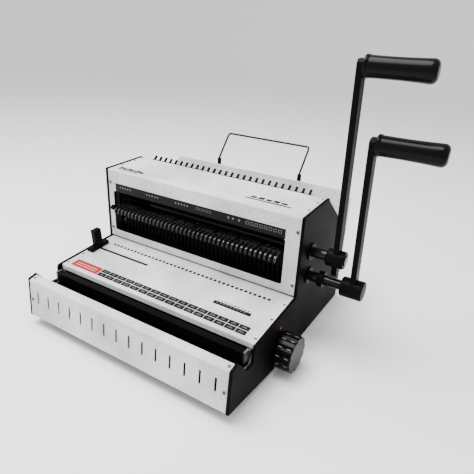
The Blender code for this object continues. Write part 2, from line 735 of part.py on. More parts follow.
def die_set():
    back = DIE_FRONT_Y + DIE_DEPTH
    bottom = DIE_TOP_Z - DIE_HEIGHT
    die = box("die_block", (-DIE_HALF_WIDTH, DIE_FRONT_Y, bottom),
              (DIE_HALF_WIDTH, back, DIE_TOP_Z), machine, plated_steel)
    half = DIE_HALF_WIDTH
    inner = half - GUIDE_SPACER
    outline = [
        (-half, GUIDE_BOTTOM_Z),
        (-inner, GUIDE_BOTTOM_Z),
        (-inner, PIN_GUIDE_Z),
        (inner, PIN_GUIDE_Z),
        (inner, GUIDE_BOTTOM_Z),
        (half, GUIDE_BOTTOM_Z),
        (half, PIN_GUIDE_Z + GUIDE_HEIGHT),
        (-half, PIN_GUIDE_Z + GUIDE_HEIGHT),
    ]
    guide = plate("pin_guide", outline, (DIE_FRONT_Y + back) / 2, DIE_DEPTH, machine,
                  black_steel, FRONT_ON)
    size = PIN_SIZE + 2 * GAP
    for tool in square_row("die_hole", bottom - PIN_SIZE, DIE_TOP_Z + PIN_SIZE, size, machine):
        cut(die, tool)
    top = PIN_GUIDE_Z + GUIDE_HEIGHT
    for tool in square_row("guide_hole", PIN_GUIDE_Z - PIN_SIZE, top + PIN_SIZE, size, machine):
        cut(guide, tool)
    support = [
        (DIE_FRONT_Y + 4 * SHEET, bottom - GAP),
        (DIE_FRONT_Y, bottom - GAP),
        (DIE_FRONT_Y, BASE_Z + BASE_THICKNESS + GAP),
    ]
    folded_sheet("die_support", support[::-1], DIE_HALF_WIDTH, SHEET, machine, plated_steel)


def tie_rod():
    rod("tie_rod", -INNER_HALF, INNER_HALF, TIE_ROD_Y, TIE_ROD_Z, TIE_ROD_RADIUS, machine,
        black_steel)


def return_spring():
    """Torsion spring round the punch shaft, its tail just under the tie rod."""
    radius = SHAFT_RADIUS + 4 * SPRING_WIRE_RADIUS
    steps = CIRCLE // 2
    points = []
    for number in range(SPRING_TURNS * steps + 1):
        angle = SPRING_START + 2 * math.pi * number / steps
        points.append((SPRING_X + SPRING_PITCH * number / steps,
                       PUNCH_SHAFT_Y + radius * math.cos(angle),
                       PUNCH_SHAFT_Z + radius * math.sin(angle)))
    under_rod = TIE_ROD_Z - TIE_ROD_RADIUS - 2 * SPRING_WIRE_RADIUS
    points.append((points[-1][0], TIE_ROD_Y, under_rod))
    tube("punch_return_spring", points, SPRING_WIRE_RADIUS, machine, black_steel, 6)


# --------------------------------------------------------------- punch lever
def lever_outline(pivot_y, pivot_z, length, lean, tail):
    """A flat bar through its hub, round at both ends, leaning towards the operator."""
    half = ARM_WIDTH / 2
    corner = ARM_CORNER
    along = Vector((-math.sin(lean), math.cos(lean)))
    across = Vector((math.cos(lean), math.sin(lean)))
    centre = Vector((pivot_y, pivot_z))
    top = centre + along * (length + half)
    low = centre - along * tail
    points = [
        low - across * half,
        low + across * half,
        top + across * half - along * corner,
        top + across * (half - corner),
        top - across * (half - corner),
        top - across * half - along * corner,
    ]
    return [tuple(p) for p in points]


def lever(name, x, y, z, length, lean, tail, hub, body):
    """Arm with its hub and grip rod; hub is (inner x, outer x, radius)."""
    arm = plate(f"{name}_arm", lever_outline(y, z, length, lean, tail), x, ARM_THICKNESS,
                body, black_steel)
    join(arm, rod(f"{name}_hub_boss", hub[0], hub[1], y, z, hub[2], body, None))
    top_y = y - length * math.sin(lean)
    top_z = z + length * math.cos(lean)
    face = x + ARM_THICKNESS / 2
    reach = GRIP_LENGTH - 2 * GRIP_CAP
    join(arm, rod(f"{name}_grip_rod", x, face + reach, top_y, top_z, GRIP_ROD_RADIUS, body,
                  None, 16))
    cut(arm, rod(f"{name}_hub_bore", hub[0] - ARM_WIDTH, hub[1] + ARM_WIDTH, y, z,
                 SHAFT_RADIUS + GAP, body, None))
    bore = GRIP_ROD_RADIUS + GAP
    stations = [(reach + GAP, 0.0), (reach + GAP, bore), (0.0, bore),
                (0.0, GRIP_RADIUS - SHEET), (SHEET, GRIP_RADIUS)]
    stations += [(GRIP_LENGTH - GRIP_CAP + GRIP_CAP * math.sin(a),
                  GRIP_RADIUS - GRIP_CAP * (1 - math.cos(a)))
                 for a in (math.radians(d) for d in range(0, 91, 18))]
    stations.append((GRIP_LENGTH, 0.0))
    turned(f"{name}_grip", stations, face + GAP, top_y, top_z, body, grip_rubber)


def punch_lever():
    body = pivot("punch_lever_axis", (0.0, PUNCH_SHAFT_Y, PUNCH_SHAFT_Z), machine)
    hub = (PUNCH_HUB_INNER_X, PUNCH_HUB_OUTER_X, PUNCH_HUB_RADIUS)
    lever("punch", PUNCH_ARM_X, PUNCH_SHAFT_Y, PUNCH_SHAFT_Z, PUNCH_ARM_LENGTH,
          PUNCH_ARM_LEAN, PUNCH_ARM_TAIL, hub, body)
    rod("punch_shaft", -INNER_HALF - FRAME_THICKNESS, PUNCH_HUB_OUTER_X + SHEET,
        PUNCH_SHAFT_Y, PUNCH_SHAFT_Z, SHAFT_RADIUS, body, black_steel)
    start = PUNCH_TURN / 2
    cam_y = PUNCH_SHAFT_Y - CAM_OFFSET * math.cos(start)
    cam_z = PUNCH_SHAFT_Z + CAM_OFFSET * math.sin(start)
    middle = YOKE_OUTER_X - YOKE_THICKNESS / 2
    for side, sign in (("left", -1), ("right", 1)):
        ends = sorted((sign * (middle - CAM_THICKNESS / 2), sign * (middle + CAM_THICKNESS / 2)))
        cam = rod(f"punch_cam_{side}", ends[0], ends[1], cam_y, cam_z, CAM_RADIUS, body,
                  plated_steel, 32)
        cut_rods(cam, f"cam_bore_{side}", ends[0] - SHEET, ends[1] + SHEET,
                 [(PUNCH_SHAFT_Y, PUNCH_SHAFT_Z)], SHAFT_RADIUS + GAP, body)
    return body, cam_y, cam_z


def punch_bar(cam_y, cam_z):
    """The bar that the cams drive, its yokes, and the comb of punch pins."""
    body = pivot("punch_bar_axis", (0.0, PIN_ROW_Y, BAR_BOTTOM_Z), machine)
    front = PIN_ROW_Y - PUNCH_BAR_DEPTH / 2 - SHEET
    inner = YOKE_OUTER_X - YOKE_THICKNESS
    bar = box("punch_bar", (-inner - YOKE_THICKNESS / 2, front, BAR_BOTTOM_Z),
              (inner + YOKE_THICKNESS / 2, front + PUNCH_BAR_DEPTH, BAR_TOP_Z), body, black_steel)
    play = YOKE_PLAY
    window_low = cam_z - CAM_RADIUS - play
    window_high = cam_z + CAM_RADIUS + play
    side_play = CAM_OFFSET * (1 - math.cos(PUNCH_TURN / 2)) + play
    window_front = cam_y - CAM_RADIUS - side_play
    window_back = cam_y + CAM_RADIUS + play
    for side, sign in (("left", -1), ("right", 1)):
        ends = sorted((sign * inner, sign * YOKE_OUTER_X))
        yoke = box(f"yoke_{side}", (ends[0], window_front - YOKE_WALL, window_low - YOKE_WALL),
                   (ends[1], window_back + YOKE_WALL, window_high + YOKE_WALL), body, None)
        join(bar, yoke)
        cut(bar, box(f"yoke_window_{side}", (ends[0] - SHEET, window_front, window_low),
                     (ends[1] + SHEET, window_back, window_high), body, None))
    strip_front = PIN_ROW_Y - PUNCH_BAR_DEPTH / 2
    half = hole_places()[-1] + HOLE_PITCH / 2
    comb = box("punch_pins", (-half, strip_front, PIN_STRIP_Z),
               (half, strip_front + PUNCH_BAR_DEPTH - 3 * SHEET, PIN_STRIP_Z + PIN_STRIP_HEIGHT),
               body, black_steel)
    tip = PIN_GUIDE_Z + PIN_REST_OVERLAP
    for tool in square_row("pin", tip, PIN_STRIP_Z + PIN_STRIP_HEIGHT / 2, PIN_SIZE, body):
        join(comb, tool)
    return body


def pull_outline():
    """Side view of one pull: a shank from its bar that curls down at the finger end."""
    low = BAR_TOP_Z + RUNNING
    top = low + PULL_BAR_HEIGHT
    back = PIN_ROW_Y - SHEET
    bend = PULL_DROP / 2
    outer = arc((PULL_TIP_Y + bend, top - bend), bend, 90, 200, 6)
    inner_bend = bend - PULL_CURL_THICKNESS
    inner = arc((PULL_TIP_Y + bend, top - bend), inner_bend, 200, 90, 5)
    return [(back, low + SHEET / 2), (back, top)] + outer + inner


def pin_pulls(bar_body):
    places = hole_places()
    low = BAR_TOP_Z + RUNNING
    back = PIN_ROW_Y
    for group in range(PULL_GROUPS):
        centres = places[group * PULLS_PER_GROUP:(group + 1) * PULLS_PER_GROUP]
        middle = sum(centres) / PULLS_PER_GROUP
        body = pivot(f"pin_pull_{group + 1}_axis", Vector((middle, back, low)) - origin_of(bar_body),
                     bar_body)
        half = (centres[-1] - centres[0] + PULL_THICKNESS) / 2
        pulls = box(f"pin_pulls_{group + 1}", (middle - half, back - PULL_BAR_DEPTH, low),
                    (middle + half, back, low + PULL_BAR_HEIGHT - SHEET / 2), body,
                    black_steel)
        for number, x in enumerate(centres):
            join(pulls, plate(f"pull_{group + 1}_{number}", pull_outline(), x,
                              PULL_THICKNESS - GAP, body, None))


# ------------------------------------------------------------- closing lever
def closing_lever():
    body = pivot("closing_lever_axis", (0.0, CLOSING_SHAFT_Y, CLOSING_SHAFT_Z), machine)
    hub = (CLOSING_HUB_INNER_X, CLOSING_HUB_OUTER_X, CLOSING_HUB_RADIUS)
    lever("closing", CLOSING_ARM_X, CLOSING_SHAFT_Y, CLOSING_SHAFT_Z, CLOSING_ARM_LENGTH,
          CLOSING_ARM_LEAN, 0.0, hub, body)
    rod("closing_shaft", -INNER_HALF - FRAME_THICKNESS, CLOSING_HUB_OUTER_X - SHEET,
        CLOSING_SHAFT_Y, CLOSING_SHAFT_Z, SHAFT_RADIUS, body, black_steel)
    collar = rod("closing_collar", COLLAR_INNER_X, COLLAR_INNER_X + COLLAR_WIDTH,
                 CLOSING_SHAFT_Y, CLOSING_SHAFT_Z, COLLAR_RADIUS, body, black_steel)
    cut_rods(collar, "collar_bore", COLLAR_INNER_X - SHEET, COLLAR_INNER_X + COLLAR_WIDTH + SHEET,
             [(CLOSING_SHAFT_Y, CLOSING_SHAFT_Z)], SHAFT_RADIUS + GAP, body)
    start = math.radians(90) - CLOSING_TURN / 2
    pin_y = CLOSING_SHAFT_Y + CRANK_RADIUS * math.cos(start)
    pin_z = CLOSING_SHAFT_Z + CRANK_RADIUS * math.sin(start)
    toward = math.degrees(start)
    hub_radius = SHAFT_RADIUS + 2 * BUSH_FLANGE
    tip_radius = 2 * CRANK_PIN_RADIUS
    for side, sign in (("left", -1), ("right", 1)):
        inner = CRANK_OUTER_X - CRANK_THICKNESS
        outline = arc((CLOSING_SHAFT_Y, CLOSING_SHAFT_Z), hub_radius, toward + 100, toward + 260, 10)
        outline += arc((pin_y, pin_z), tip_radius, toward - 90, toward + 90, 8)
        crank = plate(f"closing_crank_{side}", outline, sign * (inner + CRANK_THICKNESS / 2),
                      CRANK_THICKNESS, body, plated_steel)
        ends = sorted((sign * (inner + CRANK_THICKNESS / 2),
                       sign * (LINK_INNER_X + LINK_THICKNESS - GAP)))
        join(crank, rod(f"crank_pin_{side}", ends[0], ends[1], pin_y, pin_z, CRANK_PIN_RADIUS,
                        body, None, 16))
        bore = sorted((sign * (inner - SHEET), sign * (CRANK_OUTER_X + SHEET)))
        cut_rods(crank, f"crank_bore_{side}", bore[0], bore[1],
                 [(CLOSING_SHAFT_Y, CLOSING_SHAFT_Z)], SHAFT_RADIUS + GAP, body)
    return pin_y, pin_z


def closing_bar(pin_y, pin_z):
    """Pressing bar in the channel and the two links that the cranks push."""
    low = LINK_LOW_Z
    body = pivot("closing_bar_axis", (0.0, CLOSING_BAR_FRONT_Y, low), machine)
    front = CLOSING_BAR_FRONT_Y
    back = front + CLOSING_BAR_DEPTH
    bar = box("closing_bar", (-LINK_INNER_X + GAP, front, low),
              (LINK_INNER_X - GAP, back, low + CLOSING_BAR_HEIGHT), body, black_steel)
    add_bevel(bar, SHEET)
    play = CRANK_PLAY
    radius = CRANK_PIN_RADIUS + play
    drop = CRANK_RADIUS * (1 - math.cos(CLOSING_TURN / 2))
    slot_low = pin_z - radius
    slot_high = pin_z + drop + radius
    wall = LINK_BAND / 3
    shaft_back = CLOSING_SHAFT_Y + SHAFT_RADIUS + CLOSING_TRAVEL + SHEET
    arm_low = CLOSING_SHAFT_Z + SHAFT_RADIUS + SHEET
    outline = [
        (front, low),
        (shaft_back + LINK_BAND, low),
        (shaft_back + LINK_BAND, slot_high + wall),
        (pin_y - radius - wall, slot_high + wall),
        (pin_y - radius - wall, arm_low),
        (shaft_back, arm_low),
        (shaft_back, low + LINK_BAND),
        (back, low + LINK_BAND),
        (back, low + CLOSING_BAR_HEIGHT),
        (front, low + CLOSING_BAR_HEIGHT),
    ]
    for side, sign in (("left", -1), ("right", 1)):
        middle = sign * (LINK_INNER_X + LINK_THICKNESS / 2)
        link = plate(f"closing_link_{side}", outline, middle, LINK_THICKNESS, body, plated_steel)
        slot = box(f"link_slot_{side}", (middle - LINK_THICKNESS, pin_y - radius, slot_low),
                   (middle + LINK_THICKNESS, pin_y + radius, slot_high), body, None)
        cut(link, slot)


# ------------------------------------------------------ knob, guide and rack
def size_knob():
    body = pivot("size_knob_axis", (COVER_OUTER_X, KNOB_Y, KNOB_Z), machine)
    face = COVER_OUTER_X + 2 * SHEET
    outline = []
    for flute in range(KNOB_FLUTES):
        middle = 360 * flute / KNOB_FLUTES
        pitch = 360 / KNOB_FLUTES
        for share, radius in KNOB_WAVE:
            angle = math.radians(middle + share * pitch)
            outline.append((KNOB_Y + radius * KNOB_RADIUS * math.cos(angle),
                            KNOB_Z + radius * KNOB_RADIUS * math.sin(angle)))
    knob = plate("size_knob", outline, face + KNOB_LENGTH / 2, KNOB_LENGTH, body, grip_rubber)
    add_bevel(knob, SHEET / 2)
    inner = YOKE_OUTER_X - YOKE_THICKNESS
    depth = face + KNOB_LENGTH / 2
    cut(knob, rod("knob_bore", face - SHEET, depth, KNOB_Y, KNOB_Z, KNOB_SHAFT_RADIUS + GAP,
                  body, None, 16))
    rod("knob_shaft", inner - SHEET, depth - GAP, KNOB_Y, KNOB_Z, KNOB_SHAFT_RADIUS, body,
        chrome, 16)
    spiral = []
    for number in range(CIRCLE):
        share = number / CIRCLE
        radius = STOP_CAM_RADIUS * (1 - share * STOP_CAM_FALL)
        angle = 2 * math.pi * share
        spiral.append((KNOB_Y + radius * math.cos(angle), KNOB_Z + radius * math.sin(angle)))
    cam = plate("stop_cam", spiral, inner + YOKE_THICKNESS / 2, YOKE_THICKNESS / 2, body,
                plated_steel)
    cut_rods(cam, "stop_cam_bore", inner - SHEET, inner + YOKE_THICKNESS + SHEET,
             [(KNOB_Y, KNOB_Z)], KNOB_SHAFT_RADIUS + GAP, body)


def edge_guide():
    x = SLOT_LEFT + SLOT_WIDTH
    z = table_height(SLOT_Y)
    body = pivot("edge_guide_axis", (x, SLOT_Y, z), machine)
    foot_x = GUIDE_WIDTH / 2
    half = GUIDE_LENGTH / 2
    guide = box("edge_guide", (x - foot_x, SLOT_Y - half, z + GAP),
                (x + foot_x, SLOT_Y + half, z + GAP + GUIDE_THICKNESS), body, black_cover,
                SHEET / 2)
    fence = box("edge_guide_fence", (x - foot_x + SHEET, SLOT_Y - GUIDE_FENCE_DEPTH / 2,
                                     z + GUIDE_THICKNESS / 2),
                (x + foot_x - SHEET, SLOT_Y + GUIDE_FENCE_DEPTH / 2,
                 z + GUIDE_THICKNESS + GUIDE_FENCE_HEIGHT), body, None, SHEET / 2)
    join(guide, fence)
    stud_radius = SLOT_WIDTH / 2 - RUNNING
    bore = post("guide_stud_bore", x, SLOT_Y, z - SHEET, z + STUD_DEPTH,
                stud_radius + GAP, body, None, 16)
    cut(guide, bore)
    stud = post("guide_stud", x, SLOT_Y, z - 4 * SHEET, z + STUD_DEPTH - GAP,
                stud_radius, body, chrome, 16)
    join(stud, post("guide_stud_foot", x, SLOT_Y, z - 4 * SHEET, z - SHEET - 3 * RUNNING,
                    SLOT_WIDTH, body, None, 16))
    for obj in (guide, fence, bore, stud, cutters.objects["guide_stud_foot"]):
        tilt_about(obj, Vector((x, SLOT_Y, z)) - origin_of(body), TABLE_SLOPE)


def tilt_about(obj, centre, angle):
    """Lean a piece back with the table, about a point on the table."""
    turn = Matrix.Rotation(angle, 4, "X")
    obj.location = centre + turn.to_3x3() @ (obj.location - centre)
    obj.rotation_euler = (angle, 0.0, 0.0)


def binding_comb():
    """The comb that holds a binding element open while sheets are hung on it."""
    front = HOUSING_TOP_BACK_Y + GAP
    low = TOP_BACK_Z - HOUSING_BACK_LIP
    half = (TEETH - 1) / 2 * TEETH_PITCH + TEETH_PITCH / 2
    comb = box("binding_comb", (-half, front, low), (half, front + COMB_THICKNESS,
               low + COMB_STRIP_HEIGHT), machine, black_steel)
    root = low + COMB_STRIP_HEIGHT - COMB_THICKNESS
    inset = GAP / 2
    outline = [
        (front + inset, root),
        (front + inset, root + COMB_THICKNESS + SHEET),
        (front + TOOTH_REACH - COMB_THICKNESS, root + TOOTH_HEIGHT),
        (front + TOOTH_REACH, root + TOOTH_HEIGHT),
        (front + TOOTH_REACH, root + TOOTH_HEIGHT - COMB_THICKNESS),
        (front + COMB_THICKNESS - inset, root + SHEET / 2),
        (front + COMB_THICKNESS - inset, root),
    ]
    for number in range(TEETH):
        x = (number - (TEETH - 1) / 2) * TEETH_PITCH
        join(comb, plate(f"tooth_{number}", outline, x, TOOTH_WIDTH, machine, None))


def wire_rack():
    top = REAR_PLATE_TOP_Z + SOCKET_STANDS_PROUD
    bore = RACK_WIRE_RADIUS + RUNNING
    bottom = top - SOCKET_LENGTH
    for side, x in (("left", -RACK_HALF_WIDTH), ("right", RACK_HALF_WIDTH)):
        socket = post(f"rack_socket_{side}", x, RACK_Y, bottom, top, SOCKET_RADIUS, machine,
                      black_steel)
        join(socket, box(f"socket_lug_{side}", (x - 2 * SOCKET_RADIUS, REAR_PLATE_Y + SHEET + GAP,
                                                bottom + SHEET),
                         (x + 2 * SOCKET_RADIUS, RACK_Y - bore - GAP, REAR_PLATE_TOP_Z - SHEET),
                         machine, None))
        cut(socket, post(f"socket_bore_{side}", x, RACK_Y, bottom + SHEET, top + SHEET, bore,
                         machine, None))
    body = pivot("wire_rack_axis", (0.0, RACK_Y, top), machine)
    half = RACK_HALF_WIDTH
    r = RACK_CORNER
    side = [
        (half, 0.0, -RACK_INSERTION),
        (half, 0.0, SHEET),
        (half, RACK_KNEE_REACH, RACK_KNEE_RISE),
        (half, RACK_REACH * (1 - r / RACK_RISE), RACK_RISE - r),
        (half - r * CORNER_CUT, RACK_REACH, RACK_RISE - r * CORNER_CUT / 3),
        (half - r, RACK_REACH, RACK_RISE),
    ]
    points = side + [(-x, y, z) for x, y, z in reversed(side)]
    rack = tube("wire_rack", points, RACK_WIRE_RADIUS, body, black_steel)
    rack.location = (0.0, 0.0, 0.0)


# --------------------------------------------------------------- chad drawer
def chad_drawer():
    back = REAR_PLATE_Y + SHEET + DRAWER_BACK_STEP
    low = Vector((-DRAWER_HALF_WIDTH, DRAWER_FRONT_Y, DRAWER_BOTTOM_Z))
    high = Vector((DRAWER_HALF_WIDTH, back, DRAWER_BOTTOM_Z + DRAWER_HEIGHT))
    body = pivot("chad_drawer_axis", (0.0, back, DRAWER_BOTTOM_Z), machine)
    bm = bmesh.new()
    bmesh.ops.create_cube(bm, size=1.0, matrix=Matrix.Diagonal((*(high - low), 1.0)))
    lid = [face for face in bm.faces if face.normal.z > 0.5]
    bmesh.ops.delete(bm, geom=lid, context="FACES_ONLY")
    mesh = bpy.data.meshes.new("chad_drawer")
    bm.to_mesh(mesh)
    bm.free()
    drawer = mesh_object("chad_drawer", mesh, (low + high) / 2, body, black_cover)
    shell = drawer.modifiers.new("drawer_wall", "SOLIDIFY")
    shell.thickness = SHEET
    shell.offset = -1.0
    shell.use_even_offset = True
    half = HANDLE_HALF_WIDTH
    start = back + GAP - origin_of(body).y
    r = 2 * HANDLE_WIRE_RADIUS
    side = [
        (half, start, HANDLE_RISE),
        (half, start + HANDLE_REACH - r, HANDLE_RISE),
        (half - r * CORNER_CUT, start + HANDLE_REACH - r * CORNER_CUT, HANDLE_RISE),
        (half - r, start + HANDLE_REACH, HANDLE_RISE),
    ]
    points = side + [(-x, y, z) for x, y, z in reversed(side)]
    handle = tube("drawer_handle", points, HANDLE_WIRE_RADIUS, body, chrome)
    handle.location = (0.0, 0.0, 0.0)


# ----------------------------------------------------------------- assembly
for leftover in list(bpy.data.objects):
    bpy.data.objects.remove(leftover)

parts = collection("binding_machine")
cutters = collection("cutters")

silver_paint = material("silver_paint", (0.62, 0.63, 0.64), 0.45, 0.1)
black_cover = material("black_cover", (0.012, 0.012, 0.014), 0.5, 0.0)
black_steel = material("black_steel", (0.015, 0.015, 0.017), 0.42, 0.2)
plated_steel = material("plated_steel", (0.45, 0.45, 0.47), 0.35, 1.0)
chrome = material("chrome", (0.75, 0.75, 0.77), 0.15, 1.0)
rubber = material("rubber", (0.02, 0.02, 0.02), 0.85, 0.0)
grip_rubber = material("grip_rubber", (0.01, 0.01, 0.011), 0.4, 0.0)

machine = bpy.data.objects.new("machine_origin", None)
machine.empty_display_size = 0.05
machine.location = -FRAME_SHIFT
parts.objects.link(machine)

side_plates()
bushes()
base_and_feet()
table_panel()
upper_cover()
rear_panels()
front_end()
die_set()
tie_rod()
return_spring()
lever_body, cam_y, cam_z = punch_lever()
bar_body = punch_bar(cam_y, cam_z)
pin_pulls(bar_body)
pin_y, pin_z = closing_lever()
closing_bar(pin_y, pin_z)
size_knob()
edge_guide()
binding_comb()
wire_rack()
chad_drawer()
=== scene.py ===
import json
import math

import bmesh
import bpy
from mathutils import Matrix, Vector


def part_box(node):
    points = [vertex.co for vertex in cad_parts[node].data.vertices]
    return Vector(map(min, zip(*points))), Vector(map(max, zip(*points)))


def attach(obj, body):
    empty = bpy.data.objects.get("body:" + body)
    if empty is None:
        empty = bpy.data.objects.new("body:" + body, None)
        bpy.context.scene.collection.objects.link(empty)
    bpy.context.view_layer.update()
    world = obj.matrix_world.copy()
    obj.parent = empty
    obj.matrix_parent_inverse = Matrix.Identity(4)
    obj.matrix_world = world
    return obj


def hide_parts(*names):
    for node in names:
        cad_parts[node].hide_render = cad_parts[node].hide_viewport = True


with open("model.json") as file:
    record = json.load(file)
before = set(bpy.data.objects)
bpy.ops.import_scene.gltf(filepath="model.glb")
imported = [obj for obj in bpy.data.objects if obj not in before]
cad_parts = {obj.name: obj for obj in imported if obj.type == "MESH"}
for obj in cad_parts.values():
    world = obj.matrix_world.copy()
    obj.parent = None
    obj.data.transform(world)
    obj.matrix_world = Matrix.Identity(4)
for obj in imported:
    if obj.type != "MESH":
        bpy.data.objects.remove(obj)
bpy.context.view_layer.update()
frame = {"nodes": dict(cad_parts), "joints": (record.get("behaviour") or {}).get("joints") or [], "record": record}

# ------------------------------------------------------------ sizes, metres
SHEET = 0.0015              # folded steel sheet
BEND = 0.0024               # outer radius of its folds
EASE = 0.00045              # broken edge of a machined piece
PRINT = 0.00012             # how far printed marks stand proud
HOLES = 40
HOLE_PITCH = 0.0254 / 3
ROUND = 64                  # sides of a visible round piece

HOUSING_RISE = 0.004        # of the housing top towards the rear
HOUSING_LIP = 0.012
WINDOW_LEFT = -0.1845
WINDOW_RIGHT = 0.172
WINDOW_BOTTOM = 0.1145
WINDOW_TOP = 0.193
WINDOW_CORNER = 0.004
TABLE_LIP = 0.009
RAIL_LEAN = 0.005
RAIL_FLANGE_RISE = 0.004
RAIL_SLOTS = 15
RAIL_SLOT_PITCH = 0.0253
RAIL_SLOT_HEIGHT = 0.023
RAIL_SLOT_WIDTH = 0.0038
RAIL_SLOT_MID = 0.056
RAIL_LIP = 0.010
GUIDE_SLOT_LEFT = -0.191
GUIDE_SLOT_RIGHT = -0.063
GUIDE_SLOT_Y = 0.145
GUIDE_SLOT_WIDTH = 0.006

ARM_WIDTH = 0.018
ARM_THICKNESS = 0.0085
ARM_CORNER = 0.004
GRIP_LIP = 0.0009           # how far a grip's collar stands out
TOUCHING = 0.0003           # gap that touching pieces keep
PUNCH_TAIL = 0.026          # of the punch arm below its shaft
PUNCH_HUB_RADIUS = 0.014
PUNCH_HUB_END = 0.256       # x of the hub's outer end
CLOSING_HUB_RADIUS = 0.0155
CLOSING_HUB_END = 0.291
HUB_EDGE = 0.0012

SCREW_INSET = 0.0045        # of a panel's screws from its side edges
FRONT_SCREWS_Z = (0.119, 0.209)
TABLE_SCREWS_LEFT = (0.080, 0.114, 0.169)   # the middle one clears the edge guide
TABLE_SCREWS_RIGHT = (0.080, 0.128, 0.169)
TOP_SCREWS_Y = (0.224, 0.258, 0.279)
REAR_SCREWS_Z = (0.030, 0.120, 0.190)
TOP_DEPTH = 0.094           # of the housing top, over which it rises
TOP_FRONT_Z = 0.233
HOLE_ROW_FRONT = 0.1652     # printed hole marks, front and back
HOLE_ROW_BACK = 0.1706
HOLE_MARK_HALF = 0.0026
CHART_ROWS = ((0.0775, 0.0866), (0.0877, 0.0965))
CHART_COLUMNS = 16
CHART_PITCH = 0.01842
CHART_LEFT = -0.119
CHART_GAP = 0.0009
STRIP_THICKNESS = 0.0002    # label strip over the window
STRIP_DOTS_Z = 0.2028
KNOB_FLUTES = 12
KNOB_CAP_RADIUS = 0.0165
CAMERA_PLACE = (0.4212, -0.3780, 0.4710)

# ------------------------------------------------- the machine's own axes
table_low, table_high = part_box("table_panel")
rail_low, rail_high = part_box("closing_rail")
MIDDLE_X = (table_low.x + table_high.x) / 2
FRONT_Y = rail_low.y
HALF_BODY = (table_high.x - table_low.x) / 2


def at(x, y, z):
    """A point in machine axes: x from the centre plane, y from the front rail, z up."""
    return Vector((MIDDLE_X + x, FRONT_Y + y, z))


def span(node):
    """Lowest and highest corner of a CAD node, in machine axes."""
    low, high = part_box(node)
    shift = Vector((MIDDLE_X, FRONT_Y, 0.0))
    return low - shift, high - shift


def joint_place(name):
    for joint in frame["joints"]:
        if joint["name"] == name:
            return Vector(joint["pos_m"])
    raise ValueError(name)


# ---------------------------------------------------------------- materials
def node_material(name):
    surface = bpy.data.materials.new(name)
    surface.use_nodes = True
    tree = surface.node_tree
    shader = tree.nodes["Principled BSDF"]
    return surface, tree, shader


def noise(tree, scale, detail=3.0, stretch=(1.0, 1.0, 1.0)):
    place = tree.nodes.new("ShaderNodeTexCoord")
    mapping = tree.nodes.new("ShaderNodeMapping")
    mapping.inputs["Scale"].default_value = stretch
    texture = tree.nodes.new("ShaderNodeTexNoise")
    texture.inputs["Scale"].default_value = scale
    texture.inputs["Detail"].default_value = detail
    tree.links.new(place.outputs["Object"], mapping.inputs["Vector"])
    tree.links.new(mapping.outputs["Vector"], texture.inputs["Vector"])
    return texture.outputs["Fac"]


def ramp(tree, source, low, high, start=0.3, end=0.7):
    """Turns a 0 to 1 value into colours or greys between two stops."""
    node = tree.nodes.new("ShaderNodeValToRGB")
    node.color_ramp.elements[0].position = start
    node.color_ramp.elements[0].color = (*low, 1.0)
    node.color_ramp.elements[1].position = end
    node.color_ramp.elements[1].color = (*high, 1.0)
    tree.links.new(source, node.inputs["Fac"])
    return node.outputs["Color"]


def bump(tree, shader, height, strength, distance):
    node = tree.nodes.new("ShaderNodeBump")
    node.inputs["Strength"].default_value = strength
    node.inputs["Distance"].default_value = distance
    tree.links.new(height, node.inputs["Height"])
    tree.links.new(node.outputs["Normal"], shader.inputs["Normal"])


def grey(value):
    return (value, value, value)


def coated(name, dark, light, rough, grain, grain_depth, shine=0.5):
    """Paint, moulding or rubber: mottled colour, varied gloss and a fine grain."""
    surface, tree, shader = node_material(name)
    shader.inputs["Specular IOR Level"].default_value = shine
    broad = noise(tree, 14.0, 4.0)
    fine = noise(tree, grain, 2.0)
    mix = tree.nodes.new("ShaderNodeMix")
    mix.data_type = "RGBA"
    mix.inputs["Factor"].default_value = 0.45
    tree.links.new(ramp(tree, broad, dark, light), mix.inputs["A"])
    tree.links.new(ramp(tree, fine, dark, light), mix.inputs["B"])
    tree.links.new(mix.outputs["Result"], shader.inputs["Base Color"])
    tree.links.new(ramp(tree, broad, grey(rough - 0.05), grey(rough + 0.06)),
                   shader.inputs["Roughness"])
    bump(tree, shader, fine, 0.5, grain_depth)
    return surface


def metal(name, dark, light, rough, stretch, grain=260.0):
    """Bare or plated metal with drawn or ground streaks."""
    surface, tree, shader = node_material(name)
    streaks = noise(tree, grain, 3.0, stretch)
    tree.links.new(ramp(tree, streaks, dark, light), shader.inputs["Base Color"])
    tree.links.new(ramp(tree, streaks, grey(rough - 0.05), grey(rough + 0.07)),
                   shader.inputs["Roughness"])
    shader.inputs["Metallic"].default_value = 1.0
    bump(tree, shader, streaks, 0.25, 0.00003)
    return surface


